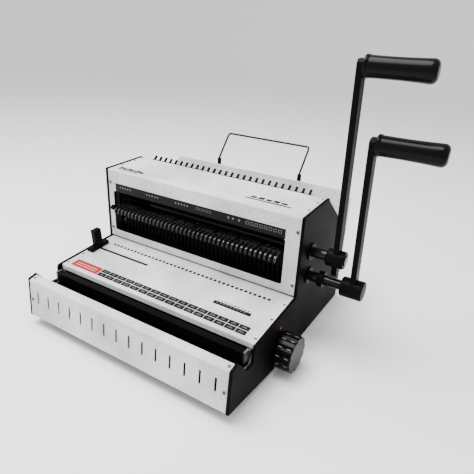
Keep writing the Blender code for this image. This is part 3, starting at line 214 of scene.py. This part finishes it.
def make_materials():
    m = {}
    m["silver"] = coated("silver_powder_coat", (0.30, 0.304, 0.308), (0.78, 0.785, 0.79),
                         0.46, 520.0, 0.00016, 0.4)
    m["black"] = coated("black_powder_coat", (0.0012, 0.0012, 0.0014), (0.0034, 0.0032, 0.0034),
                        0.5, 1500.0, 0.00008, 0.022)
    m["satin"] = coated("satin_black", (0.0012, 0.0012, 0.0014), (0.0036, 0.0036, 0.004),
                        0.36, 1500.0, 0.00003, 0.028)
    m["grip"] = coated("moulded_grip", (0.0012, 0.0013, 0.0016), (0.0030, 0.0032, 0.0040),
                       0.22, 900.0, 0.00002, 0.075)
    m["fin"] = coated("blackened_fins", (0.004, 0.004, 0.0045), (0.012, 0.012, 0.013),
                      0.20, 1200.0, 0.00002, 0.42)
    m["shaft"] = coated("polished_black_steel", (0.003, 0.003, 0.0034), (0.008, 0.008, 0.009),
                        0.10, 1200.0, 0.00001, 0.16)
    m["rubber"] = coated("foot_rubber", (0.010, 0.010, 0.010), (0.018, 0.018, 0.018),
                         0.8, 1200.0, 0.00006, 0.2)
    m["plated"] = metal("plated_steel", (0.22, 0.22, 0.23), (0.36, 0.36, 0.37), 0.38,
                        (1.0, 0.08, 1.0))
    m["chrome"] = metal("bright_chrome", (0.62, 0.62, 0.64), (0.78, 0.78, 0.80), 0.16,
                        (0.1, 1.0, 1.0))
    m["screw"] = metal("blackened_screws", (0.05, 0.05, 0.052), (0.16, 0.16, 0.165), 0.3,
                       (1.0, 1.0, 0.1))
    m["ink"] = coated("black_print", (0.003, 0.003, 0.0034), (0.008, 0.008, 0.009),
                      0.5, 900.0, 0.00001, 0.1)
    m["red"] = coated("red_print", (0.27, 0.003, 0.006), (0.36, 0.008, 0.012),
                      0.45, 900.0, 0.00001, 0.3)
    m["pale"] = coated("pale_print", (0.42, 0.43, 0.44), (0.60, 0.61, 0.62),
                       0.45, 900.0, 0.00001, 0.3)
    # faint grey print, also used for the painted glints on the knob's ridges
    m["faint"] = coated("faint_print_and_painted_glints", (0.09, 0.092, 0.095), (0.16, 0.163, 0.166),
                        0.45, 900.0, 0.00001, 0.3)
    return m


# ------------------------------------------------------------- mesh helpers
def new_object(name, bm, material=None):
    bmesh.ops.recalc_face_normals(bm, faces=bm.faces)
    mesh = bpy.data.meshes.new(name)
    bm.to_mesh(mesh)
    bm.free()
    obj = bpy.data.objects.new(name, mesh)
    bpy.context.scene.collection.objects.link(obj)
    if material is not None:
        mesh.materials.append(material)
    return obj


def baked(obj):
    """Applies the object's modifiers to its mesh."""
    bpy.context.view_layer.update()
    graph = bpy.context.evaluated_depsgraph_get()
    mesh = bpy.data.meshes.new_from_object(obj.evaluated_get(graph))
    old = obj.data
    obj.modifiers.clear()
    obj.data = mesh
    bpy.data.meshes.remove(old)
    return obj


def ease(obj, width=EASE, segments=2, angle=35):
    modifier = obj.modifiers.new("eased_edges", "BEVEL")
    modifier.width = width
    modifier.segments = segments
    modifier.limit_method = "ANGLE"
    modifier.angle_limit = math.radians(angle)
    baked(obj)
    smooth(obj)
    weighted = obj.modifiers.new("flat_faces_stay_flat", "WEIGHTED_NORMAL")
    weighted.keep_sharp = True
    weighted.weight = 100
    return baked(obj)


def smooth(obj, angle=38):
    obj.data.shade_smooth()
    obj.data.set_sharp_from_angle(angle=math.radians(angle))
    return obj


def cut(obj, tool):
    """Takes tool's solid out of obj, and removes tool."""
    modifier = obj.modifiers.new("cut", "BOOLEAN")
    modifier.operation = "DIFFERENCE"
    modifier.object = tool
    baked(obj)
    bpy.data.objects.remove(tool)
    return obj


def prism(bm, outline, low, high, place):
    """Closed prism over a 2D outline; place turns (u, v, depth) into a point."""
    ends = [[bm.verts.new(place(u, v, depth)) for u, v in outline] for depth in (low, high)]
    bm.faces.new(ends[0])
    bm.faces.new(ends[1][::-1])
    count = len(outline)
    for i in range(count):
        j = (i + 1) % count
        bm.faces.new((ends[0][i], ends[0][j], ends[1][j], ends[1][i]))


def arc(centre, radius, start, end, steps):
    """Points round a circle, angles in degrees."""
    points = []
    for number in range(steps + 1):
        angle = math.radians(start + (end - start) * number / steps)
        points.append((centre[0] + radius * math.cos(angle),
                       centre[1] + radius * math.sin(angle)))
    return points


def rounded(u0, u1, v0, v1, r, steps=4):
    """Outline of a rectangle with round corners."""
    outline = arc((u1 - r, v0 + r), r, -90, 0, steps)
    outline += arc((u1 - r, v1 - r), r, 0, 90, steps)
    outline += arc((u0 + r, v1 - r), r, 90, 180, steps)
    return outline + arc((u0 + r, v0 + r), r, 180, 270, steps)


def side_on(u, v, depth):
    return at(depth, u, v)


def front_on(u, v, depth):
    return at(u, depth, v)


def filleted(points, radius, steps=5):
    """An open line of points with its inner corners rounded."""
    line = [Vector(points[0])]
    for before, corner, after in zip(points, points[1:], points[2:]):
        corner = Vector(corner)
        back = (Vector(before) - corner).normalized()
        ahead = (Vector(after) - corner).normalized()
        turn = math.pi - back.angle(ahead)
        reach = radius * math.tan(turn / 2)
        start = corner + back * reach
        end = corner + ahead * reach
        for number in range(steps + 1):
            t = number / steps
            first = start.lerp(corner, t)
            line.append(first.lerp(corner.lerp(end, t), t))
    line.append(Vector(points[-1]))
    return line


def beside(points, distance):
    """The same line moved to its right by a distance, with mitred corners."""
    moved = []
    for index, point in enumerate(points):
        sides = []
        if index:
            sides.append(Vector(point) - Vector(points[index - 1]))
        if index < len(points) - 1:
            sides.append(Vector(points[index + 1]) - Vector(point))
        normals = [Vector((s.y, -s.x)).normalized() for s in sides]
        mean = sum(normals, Vector((0.0, 0.0))).normalized()
        moved.append(Vector(point) + mean * distance / mean.dot(normals[0]))
    return moved


def folded_panel(name, section, material, half_width=None):
    """Sheet folded along X over a (y, z) section, with real bend radii."""
    half_width = HALF_BODY if half_width is None else half_width
    outer = filleted(section, BEND)
    inner = filleted(beside(section, SHEET), BEND - SHEET)
    outline = [tuple(p) for p in outer] + [tuple(p) for p in reversed(inner)]
    bm = bmesh.new()
    prism(bm, outline, -half_width, half_width, side_on)
    return new_object(name, bm, material)


def turned(name, stations, y, z, material, sides=ROUND, axis="X"):
    """Closed solid turned about X (or Z): stations are (place along it, radius)."""
    bm = bmesh.new()
    rings = []
    for along, radius in stations:
        ring = []
        for number in range(sides):
            angle = 2 * math.pi * number / sides
            a = radius * math.cos(angle)
            b = radius * math.sin(angle)
            point = at(along, y + a, z + b) if axis == "X" else at(y + a, z + b, along)
            ring.append(bm.verts.new(point))
        rings.append(ring)
    for ring, following in zip(rings, rings[1:]):
        for i in range(sides):
            j = (i + 1) % sides
            bm.faces.new((ring[i], ring[j], following[j], following[i]))
    bm.faces.new(rings[0])
    bm.faces.new(rings[-1])
    return smooth(new_object(name, bm, material))


def ease_sheet(panel):
    """Break the sharp edges of a folded or cut sheet."""
    return ease(panel, 0.00025, 1, 60)


def chamfered(start, end, radius, edge=0.0006):
    """Stations of a plain round piece with broken ends."""
    return [(start, radius - edge), (start + edge, radius), (end - edge, radius),
            (end, radius - edge)]


def finish_piece(obj, body, slot, *replaced):
    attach(obj, body)
    if replaced:
        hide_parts(*replaced)
    return obj


def eased_copy(node, body, slot, material, width=EASE, segments=2):
    """The CAD node's own shape with its edges broken, standing for that node."""
    source = frame["nodes"][node]
    bm = bmesh.new()
    bm.from_mesh(source.data)
    bmesh.ops.remove_doubles(bm, verts=bm.verts, dist=0.000005)
    bmesh.ops.dissolve_limit(bm, angle_limit=math.radians(1.0), verts=bm.verts, edges=bm.edges)
    obj = new_object(f"{node}_finished", bm, material)
    ease(obj, width, segments)
    return finish_piece(obj, body, slot, node)


# -------------------------------------------------------------- the panels
def housing():
    low, high = span("upper_cover")
    section = [
        (low.y, low.z),
        (low.y, high.z - HOUSING_RISE),
        (high.y, high.z),
        (high.y, high.z - HOUSING_LIP),
    ]
    panel = folded_panel("housing_panel", section, M["silver"])
    outline = rounded(WINDOW_LEFT, WINDOW_RIGHT, WINDOW_BOTTOM, WINDOW_TOP, WINDOW_CORNER)
    bm = bmesh.new()
    prism(bm, outline, low.y - 4 * SHEET, low.y + 4 * SHEET, front_on)
    cut(panel, new_object("window_tool", bm))
    ease_sheet(panel)
    finish_piece(panel, "chassis", "silver_paint", "upper_cover")


def table_line():
    """Front and back of the table's top surface as (y, z)."""
    low, high = span("table_panel")
    return (low.y, low.z + TABLE_LIP), (high.y, high.z)


def table():
    front, back = table_line()
    section = [(front[0], front[1] - TABLE_LIP), front, back]
    panel = folded_panel("table_sheet", section, M["silver"])
    end = GUIDE_SLOT_WIDTH / 2
    outline = rounded(GUIDE_SLOT_LEFT, GUIDE_SLOT_RIGHT, GUIDE_SLOT_Y - end,
                      GUIDE_SLOT_Y + end, end * 0.999, 6)
    z = table_height(GUIDE_SLOT_Y)
    bm = bmesh.new()
    prism(bm, outline, z - 4 * SHEET, z + 4 * SHEET, lambda u, v, d: at(u, v, d))
    cut(panel, new_object("guide_slot_tool", bm))
    ease_sheet(panel)
    finish_piece(panel, "chassis", "silver_paint", "table_panel")


def table_height(y):
    front, back = table_line()
    return front[1] + (y - front[0]) * (back[1] - front[1]) / (back[0] - front[0])


def front_rail():
    low, high = span("closing_rail")
    section = [
        (0.0, low.z),
        (RAIL_LEAN, high.z - RAIL_FLANGE_RISE),
        (high.y, high.z),
        (high.y, high.z - RAIL_LIP),
    ]
    rail = folded_panel("front_rail", section, M["silver"])
    bm = bmesh.new()
    end = RAIL_SLOT_WIDTH / 2
    half = RAIL_SLOT_HEIGHT / 2
    for number in range(RAIL_SLOTS):
        x = (number - (RAIL_SLOTS - 1) / 2) * RAIL_SLOT_PITCH
        outline = rounded(x - end, x + end, RAIL_SLOT_MID - half, RAIL_SLOT_MID + half,
                          end * 0.999, 5)
        prism(bm, outline, -4 * SHEET, 8 * SHEET, front_on)
    cut(rail, new_object("rail_slot_tool", bm))
    ease_sheet(rail)
    finish_piece(rail, "chassis", "silver_paint", "closing_rail")


def rear_slope():
    low, high = span("rear_slope_cover")
    lip_top = low.z + 2 * HOUSING_LIP
    slope = math.atan2(high.z - lip_top, high.y - low.y)
    section = [(low.y + SHEET * math.sin(slope), high.z), (high.y, lip_top), (high.y, low.z)]
    panel = folded_panel("rear_slope_panel", section, M["silver"])
    ease_sheet(panel)
    finish_piece(panel, "chassis", "silver_paint", "rear_slope_cover")


# -------------------------------------------------------------- the levers
def lever_arm(kind, tail, hub_radius, hub_end):
    """Flat arm with broken edges, round-cornered top and a turned hub."""
    body = f"{kind}_lever"
    hub = joint_place(f"{kind}_lever_turn") - Vector((MIDDLE_X, FRONT_Y, 0.0))
    hub_start = span(f"{kind}_arm")[0].x
    grip_low, grip_high = span(f"{kind}_grip")
    grip = (grip_low + grip_high) / 2
    along = Vector((grip.y - hub.y, grip.z - hub.z)).normalized()
    across = Vector((along.y, -along.x))
    half = ARM_WIDTH / 2
    face = grip_low.x - TOUCHING
    centre = Vector((hub.y, hub.z))
    top = Vector((grip.y, grip.z)) + along * half
    base = centre - along * tail
    c = ARM_CORNER
    outline = [base + across * half, base - across * half, top - across * half - along * c,
               top - across * (half - c), top + across * (half - c),
               top + across * half - along * c]
    bm = bmesh.new()
    prism(bm, [tuple(p) for p in outline], face - ARM_THICKNESS, face, side_on)
    arm = ease(new_object(f"{kind}_lever_arm", bm, M["satin"]), 0.0010, 3)
    finish_piece(arm, body, "black_steel", f"{kind}_arm")
    stations = chamfered(hub_start, hub_end, hub_radius, HUB_EDGE)
    boss = turned(f"{kind}_lever_hub", stations, hub.y, hub.z, M["satin"])
    finish_piece(boss, body, "black_steel")
    return hub, grip, grip_low, grip_high


def lever_grip(kind, grip, low, high):
    """Moulded grip: a collar at the arm, a slight waist and a rounded end."""
    radius = (high.z - low.z) / 2
    start, end = low.x, high.x
    body = radius - GRIP_LIP
    stations = [(start, radius - 0.001), (start + 0.0008, radius), (start + 0.0042, radius),
                (start + 0.0050, radius - 0.0006), (start + 0.0062, body)]
    steps = 12
    for number in range(steps + 1):
        share = number / steps
        x = start + 0.0075 + (end - 0.0085 - start - 0.0075) * share
        stations.append((x, body + GRIP_LIP * 0.9 * share ** 2 - 0.0004 * math.sin(math.pi * share)))
    crown = 0.0075
    for number in range(1, 9):
        angle = math.pi / 2 * number / 9
        stations.append((end - crown + crown * math.sin(angle),
                         radius - crown * (1 - math.cos(angle))))
    stations.append((end, radius - crown))
    grip_piece = turned(f"{kind}_lever_grip", stations, grip.y, grip.z, M["grip"])
    finish_piece(grip_piece, f"{kind}_lever", "grip_rubber", f"{kind}_grip")


def shaft(kind, hub):
    low, high = span(f"{kind}_shaft")
    radius = (high.z - low.z) / 2
    piece = turned(f"{kind}_shaft_bright", chamfered(low.x, high.x, radius), hub.y, hub.z,
                   M["shaft"])
    finish_piece(piece, f"{kind}_lever", "black_steel", f"{kind}_shaft")


def levers():
    for kind, tail, radius, end in (
            ("punch", PUNCH_TAIL, PUNCH_HUB_RADIUS, PUNCH_HUB_END),
            ("closing", 0.0, CLOSING_HUB_RADIUS, CLOSING_HUB_END)):
        hub, grip, low, high = lever_arm(kind, tail, radius, end)
        lever_grip(kind, grip, low, high)
        shaft(kind, hub)
    low, high = span("closing_collar")
    middle = (low + high) / 2
    collar = turned("shaft_collar", chamfered(low.x, high.x, (high.z - low.z) / 2, 0.0008),
                    middle.y, middle.z, M["satin"])
    finish_piece(collar, "closing_lever", "black_steel", "closing_collar")


# -------------------------------------------------------- screws and prints
def screw_head(bm, place, normal, radius=0.0029, height=0.0013):
    """Domed head with a cross recess, standing on place along normal."""
    normal = Vector(normal).normalized()
    turn = normal.to_track_quat("Z", "Y").to_matrix().to_4x4()
    matrix = Matrix.Translation(place) @ turn
    sides = 24
    rings = []
    profile = [(1.0, 0.0), (1.0, 0.25), (0.86, 0.7), (0.58, 0.95), (0.46, 1.0)]
    for share, rise in profile:
        ring = []
        for number in range(sides):
            angle = 2 * math.pi * number / sides
            ring.append(bm.verts.new(matrix @ Vector((radius * share * math.cos(angle),
                                                      radius * share * math.sin(angle),
                                                      height * rise))))
        rings.append(ring)
    lobes = []
    for number in range(sides):
        angle = 2 * math.pi * number / sides
        reach = 0.44 if number % 6 == 0 else (0.16 if number % 6 in (2, 3, 4) else 0.3)
        lobes.append(bm.verts.new(matrix @ Vector((radius * reach * math.cos(angle),
                                                   radius * reach * math.sin(angle),
                                                   height * 0.45))))
    rings.append(lobes)
    for ring, following in zip(rings, rings[1:]):
        for i in range(sides):
            j = (i + 1) % sides
            bm.faces.new((ring[i], ring[j], following[j], following[i]))
    bm.faces.new(rings[0][::-1])
    bm.faces.new(lobes)


def screws():
    """Screws of the front, table, top, rail and rear plate, at both sides."""
    bm = bmesh.new()
    front = span("upper_cover")[0].y
    edge = HALF_BODY - SCREW_INSET
    for x in (-edge, edge):
        for z in FRONT_SCREWS_Z:
            screw_head(bm, at(x, front, z), (0, -1, 0))
        for y in TABLE_SCREWS_RIGHT if x > 0 else TABLE_SCREWS_LEFT:
            screw_head(bm, at(x, y, table_height(y)), (0, -0.1, 1), 0.0022, 0.0008)
        for y in TOP_SCREWS_Y:
            rise = HOUSING_RISE * (y - front) / TOP_DEPTH
            screw_head(bm, at(x, y, TOP_FRONT_Z + rise), (0, -0.04, 1), 0.0022, 0.0009)
        screw_head(bm, at(x, RAIL_LEAN * 0.48 - 0.0001, 0.050), (0, -1, 0.077))
        screw_head(bm, at(x, 0.0125, 0.0860), (0, -0.26, 1), 0.0024, 0.0009)
        for z in REAR_SCREWS_Z:
            screw_head(bm, at(x, span("rear_plate")[1].y, z), (0, 1, 0))
    finish_piece(smooth(new_object("panel_screws", bm, M["screw"])), "chassis",
                 "plated_steel")


def on_table(u, v, depth):
    """A point on the table: u across, v its y, depth above the sheet."""
    return at(u, v, table_height(v) + depth)


def on_front(u, v, depth):
    return at(u, span("upper_cover")[0].y - depth, v)


def printed(name, outlines, material, plane, base=0.0, body="chassis", slot="silver_paint"):
    bm = bmesh.new()
    for outline in outlines:
        prism(bm, outline, base - PRINT / 2, base + PRINT, plane)
    return finish_piece(new_object(name, bm, material), body, slot)


def dot(u, v, r):
    return arc((u, v), r, 0, 330, 11)


def frame_of(u0, u1, v0, v1, w):
    """Four bars round a rectangle."""
    return [[(u0, v0), (u1, v0), (u1, v0 + w), (u0, v0 + w)],
            [(u0, v1 - w), (u1, v1 - w), (u1, v1), (u0, v1)],
            [(u0, v0 + w), (u0 + w, v0 + w), (u0 + w, v1 - w), (u0, v1 - w)],
            [(u1 - w, v0 + w), (u1, v0 + w), (u1, v1 - w), (u1 - w, v1 - w)]]


def block(u0, u1, v0, v1):
    return [(u0, v0), (u1, v0), (u1, v1), (u0, v1)]


def table_prints():
    places = [(n - (HOLES - 1) / 2) * HOLE_PITCH for n in range(HOLES)]
    marks = [block(x - HOLE_MARK_HALF, x + HOLE_MARK_HALF, HOLE_ROW_FRONT, HOLE_ROW_BACK)
             for x in places]
    printed("hole_marks", marks, M["ink"], on_table)
    ends = []
    for x in (places[0] - 0.010, places[-1] + 0.010):
        ends.append(dot(x, 0.168, 0.0012))
        ends.append(block(x - 0.006, x + 0.006, 0.1625, 0.1630))
    printed("end_marks", ends, M["faint"], on_table)
    cells, bars = [], []
    for row, (v0, v1) in enumerate(CHART_ROWS):
        for column in range(CHART_COLUMNS):
            u0 = CHART_LEFT + column * CHART_PITCH
            cells.append(block(u0, u0 + CHART_PITCH - CHART_GAP, v0, v1))
            width = 0.007 + 0.003 * ((column * 5 + row * 3) % 4) / 3
            middle = u0 + CHART_PITCH / 2 - 0.0005
            bars.append(block(middle - width / 2, middle + width / 2, v0 + 0.0034, v0 + 0.0044))
            bars.append(block(middle - width / 3, middle + width / 3, v0 + 0.0056, v0 + 0.0062))
    printed("size_chart", cells, M["ink"], on_table)
    printed("size_chart_bars", bars, M["faint"], on_table, PRINT)
    printed("red_panel", [block(-0.183, -0.1205, 0.0775, 0.0965)], M["red"], on_table)
    lines = [block(-0.176, -0.128, v, v + 0.0009) for v in (0.0835, 0.0885)]
    printed("red_panel_lines", lines, M["pale"], on_table, PRINT)
    printed("legend", [block(0.093, 0.160, 0.1165, 0.1240)], M["ink"], on_table)
    marks = [block(0.098 + 0.0062 * n, 0.1010 + 0.0062 * n, 0.1204, 0.1216) for n in range(9)]
    printed("legend_marks", marks, M["faint"], on_table, PRINT)
    top = [block(0.097 + 0.006 * n, 0.1005 + 0.006 * n, 0.1254, 0.1274) for n in range(10)]
    printed("legend_lines", top, M["ink"], on_table)


def on_top(u, v, depth):
    """A point on the housing top: u across, v its y, depth above the sheet."""
    low, high = span("upper_cover")
    rise = HOUSING_RISE * (v - low.y) / (high.y - low.y)
    return at(u, v, high.z - HOUSING_RISE + rise + depth)


def top_prints():
    """Plain bars on the housing top, with no lettering."""
    marks = [block(-0.182 + 0.0066 * n, -0.1764 + 0.0066 * n, 0.2030 + 0.0016 * (n % 2),
                   0.2150 - 0.0018 * (n % 3)) for n in range(9)]
    marks.append(block(-0.176, -0.130, 0.1990, 0.2012))
    marks.append(block(0.084, 0.166, 0.2140, 0.2180))
    marks += [block(0.091 + 0.0135 * n, 0.1015 + 0.0135 * n, 0.2205, 0.2275 + 0.0015 * (n % 2))
              for n in range(5)]
    printed("top_marks", marks, M["ink"], on_top)


def label_strip():
    """Black strip above the window with groups of dots and squares."""
    printed("label_strip", [block(-0.178, 0.1715, 0.1931, 0.2090)], M["ink"], on_front,
            STRIP_THICKNESS, slot="black_steel")
    lift = STRIP_THICKNESS + PRINT
    dots, rings = [], []
    for start in (-0.166, -0.102, -0.037):
        dots += [dot(start + 0.0062 * n, STRIP_DOTS_Z, 0.0015) for n in range(5)]
    for n in range(5):
        u = 0.006 + 0.0065 * n
        rings += frame_of(u, u + 0.0042, 0.2008, 0.2048, 0.0004)
    for start, count in ((0.070, 2), (0.090, 1)):
        dots += [dot(start + 0.0085 * n, STRIP_DOTS_Z, 0.0019) for n in range(count)]
    for n in range(8):
        u = 0.102 + 0.0082 * n
        rings += frame_of(u, u + 0.0056, 0.2002, 0.2054, 0.0006)
    printed("strip_dots", dots, M["faint"], on_front, lift, slot="black_steel")
    printed("strip_squares", rings, M["faint"], on_front, lift, slot="black_steel")


# ---------------------------------------------------------- knob and window
def knob():
    """Fluted knob with painted glints (pale strips) on its ridges, a shallow cap and a mark beside it."""
    eased_copy("size_knob", "knob", "grip_rubber", M["grip"], 0.0004, 2)
    low, high = span("size_knob")
    centre = (low + high) / 2
    radius = (high.z - low.z) / 2
    bm = bmesh.new()
    # pale strips along each flute ridge, near both ends: painted glints, not marks on the knob
    for number in range(KNOB_FLUTES):
        angle = 2 * math.pi * (number + 0.5) / KNOB_FLUTES
        y = centre.y + radius * 0.938 * math.cos(angle)
        z = centre.z + radius * 0.938 * math.sin(angle)
        for x0 in (low.x + 0.004, high.x - 0.010):
            tangent = Vector((-math.sin(angle), math.cos(angle)))
            outward = Vector((math.cos(angle), math.sin(angle)))
            quad = [(y + tangent.x * s * 0.0008 + outward.x * o,
                     z + tangent.y * s * 0.0008 + outward.y * o)
                    for s, o in ((-1, -0.0006), (1, -0.0006), (1, 0.0003), (-1, 0.0003))]
            prism(bm, quad, x0, x0 + 0.006, side_on)
    finish_piece(new_object("knob_painted_glints", bm, M["faint"]), "knob", "grip_rubber")
    dome = [(high.x - 0.0022 + 0.0021 * math.sin(math.radians(15 * n)),
             KNOB_CAP_RADIUS * math.cos(math.radians(15 * n))) for n in range(6)]
    cap = turned("knob_cap", [(high.x - 0.0026, KNOB_CAP_RADIUS)] + dome, centre.y, centre.z,
                 M["satin"])
    finish_piece(cap, "knob", "grip_rubber")
    face = span("right_side_cover")[1].x
    bm = bmesh.new()
    prism(bm, rounded(centre.y - 0.004, centre.y + 0.003, centre.z + 0.034, centre.z + 0.0385,
                      0.001), face - PRINT, face + PRINT, side_on)
    finish_piece(new_object("direction_mark", bm, M["red"]), "chassis", "black_cover")


def left_stop():
    """Small round knob at the left end of the pulls."""
    low, high = span("pin_pulls_1")
    x = low.x - 0.006
    y = low.y + 0.006
    z = high.z - 0.002
    knob_piece = turned("pull_stop", [(x - 0.004, 0.002), (x - 0.0035, 0.0046), (x, 0.0052),
                                      (x + 0.0035, 0.0046), (x + 0.004, 0.002)], y, z, M["satin"],
                        32)
    finish_piece(knob_piece, "chassis", "black_steel")


def rack():
    """The CAD wire with smooth shading."""
    source = frame["nodes"]["wire_rack"]
    obj = bpy.data.objects.new("rack_wire", source.data.copy())
    bpy.context.scene.collection.objects.link(obj)
    bm = bmesh.new()
    bm.from_mesh(obj.data)
    bmesh.ops.remove_doubles(bm, verts=bm.verts, dist=0.000005)
    bm.to_mesh(obj.data)
    bm.free()
    obj.data.materials.clear()
    obj.data.materials.append(M["shaft"])
    smooth(obj, 60)
    finish_piece(obj, "rack", "black_steel", "wire_rack")


# ------------------------------------------------------------- CAD finishes
def finish_nodes():
    by_slot = {"silver_paint": "silver", "black_cover": "black", "black_steel": "satin",
               "plated_steel": "plated", "chrome": "chrome",
               "rubber": "rubber", "grip_rubber": "grip"}
    slots = {s["node"]: s["material_slot"] for s in frame["record"]["subparts"]}
    for name, obj in frame["nodes"].items():
        obj.data.materials.clear()
        obj.data.materials.append(M[by_slot[slots[name]]])
    for name, body, slot, material, width in (
            ("left_side_cover", "chassis", "black_cover", "black", 0.0005),
            ("right_side_cover", "chassis", "black_cover", "black", 0.0005),
            ("rear_plate", "chassis", "silver_paint", "silver", 0.0003),
            ("edge_guide", "paper_guide", "black_cover", "satin", 0.0005),
            ("binding_comb", "chassis", "black_steel", "satin", 0.0003)):
        eased_copy(name, body, slot, M[material], width)
    for number in range(1, 9):
        eased_copy(f"pin_pulls_{number}", f"pull_group_{number}", "black_steel", M["fin"],
                   0.0004)


# ------------------------------------------------------ stage, lights, view
def stage():
    bm = bmesh.new()
    line = [(-9.0, 0.0), (4.0, 0.0)] + arc((4.0, 2.5), 2.5, -90, 0, 24)[1:] + [(6.5, 9.0)]
    rows = [[bm.verts.new((x, y, z)) for x in (-14.0, 14.0)] for y, z in line]
    for row, following in zip(rows, rows[1:]):
        bm.faces.new((row[0], row[1], following[1], following[0]))
    floor = new_object("floor", bm, coated("pale_floor", (0.88, 0.88, 0.88), (0.90, 0.90, 0.90),
                                           0.8, 40.0, 0.00001))
    smooth(floor)
    world = bpy.data.worlds.new("studio")
    world.use_nodes = True
    world.node_tree.nodes["Background"].inputs["Color"].default_value = (1.0, 1.0, 1.0, 1.0)
    world.node_tree.nodes["Background"].inputs["Strength"].default_value = 1.1
    bpy.context.scene.world = world


def area_light(name, place, target, size, power):
    lamp = bpy.data.lights.new(name, "AREA")
    lamp.shape = "SQUARE"
    lamp.size = size
    lamp.energy = power
    obj = bpy.data.objects.new(name, lamp)
    obj.location = place
    obj.rotation_euler = (Vector(target) - Vector(place)).to_track_quat("-Z", "Y").to_euler()
    bpy.context.scene.collection.objects.link(obj)


def lights():
    middle = at(0.0, 0.2, 0.12)
    area_light("overhead", at(-0.3, -0.1, 1.9), middle, 1.2, 80.0)
    area_light("left_window", at(-1.6, -0.7, 1.0), middle, 1.0, 14.0)


def camera():
    """The view from the operator's right, above the table."""
    azimuth = math.radians(30.38)
    elevation = math.radians(24.29)
    roll = math.radians(3.01)
    back = Vector((math.sin(azimuth) * math.cos(elevation),
                   -math.cos(azimuth) * math.cos(elevation), math.sin(elevation)))
    right = Vector((0.0, 0.0, 1.0)).cross(back).normalized()
    up = back.cross(right)
    turned_right = right * math.cos(roll) + up * math.sin(roll)
    turned_up = up * math.cos(roll) - right * math.sin(roll)
    data = bpy.data.cameras.new("camera")
    data.sensor_width = 36.0
    data.lens = 34.21
    data.clip_start = 0.01
    obj = bpy.data.objects.new("camera", data)
    basis = Matrix((turned_right, turned_up, back)).transposed().to_4x4()
    obj.matrix_world = Matrix.Translation(at(*CAMERA_PLACE)) @ basis
    bpy.context.scene.collection.objects.link(obj)
    bpy.context.scene.camera = obj


M = make_materials()
camera()
stage()
lights()
finish_nodes()
housing()
table()
front_rail()
rear_slope()
levers()
screws()
table_prints()
top_prints()
label_strip()
knob()
left_stop()
rack()
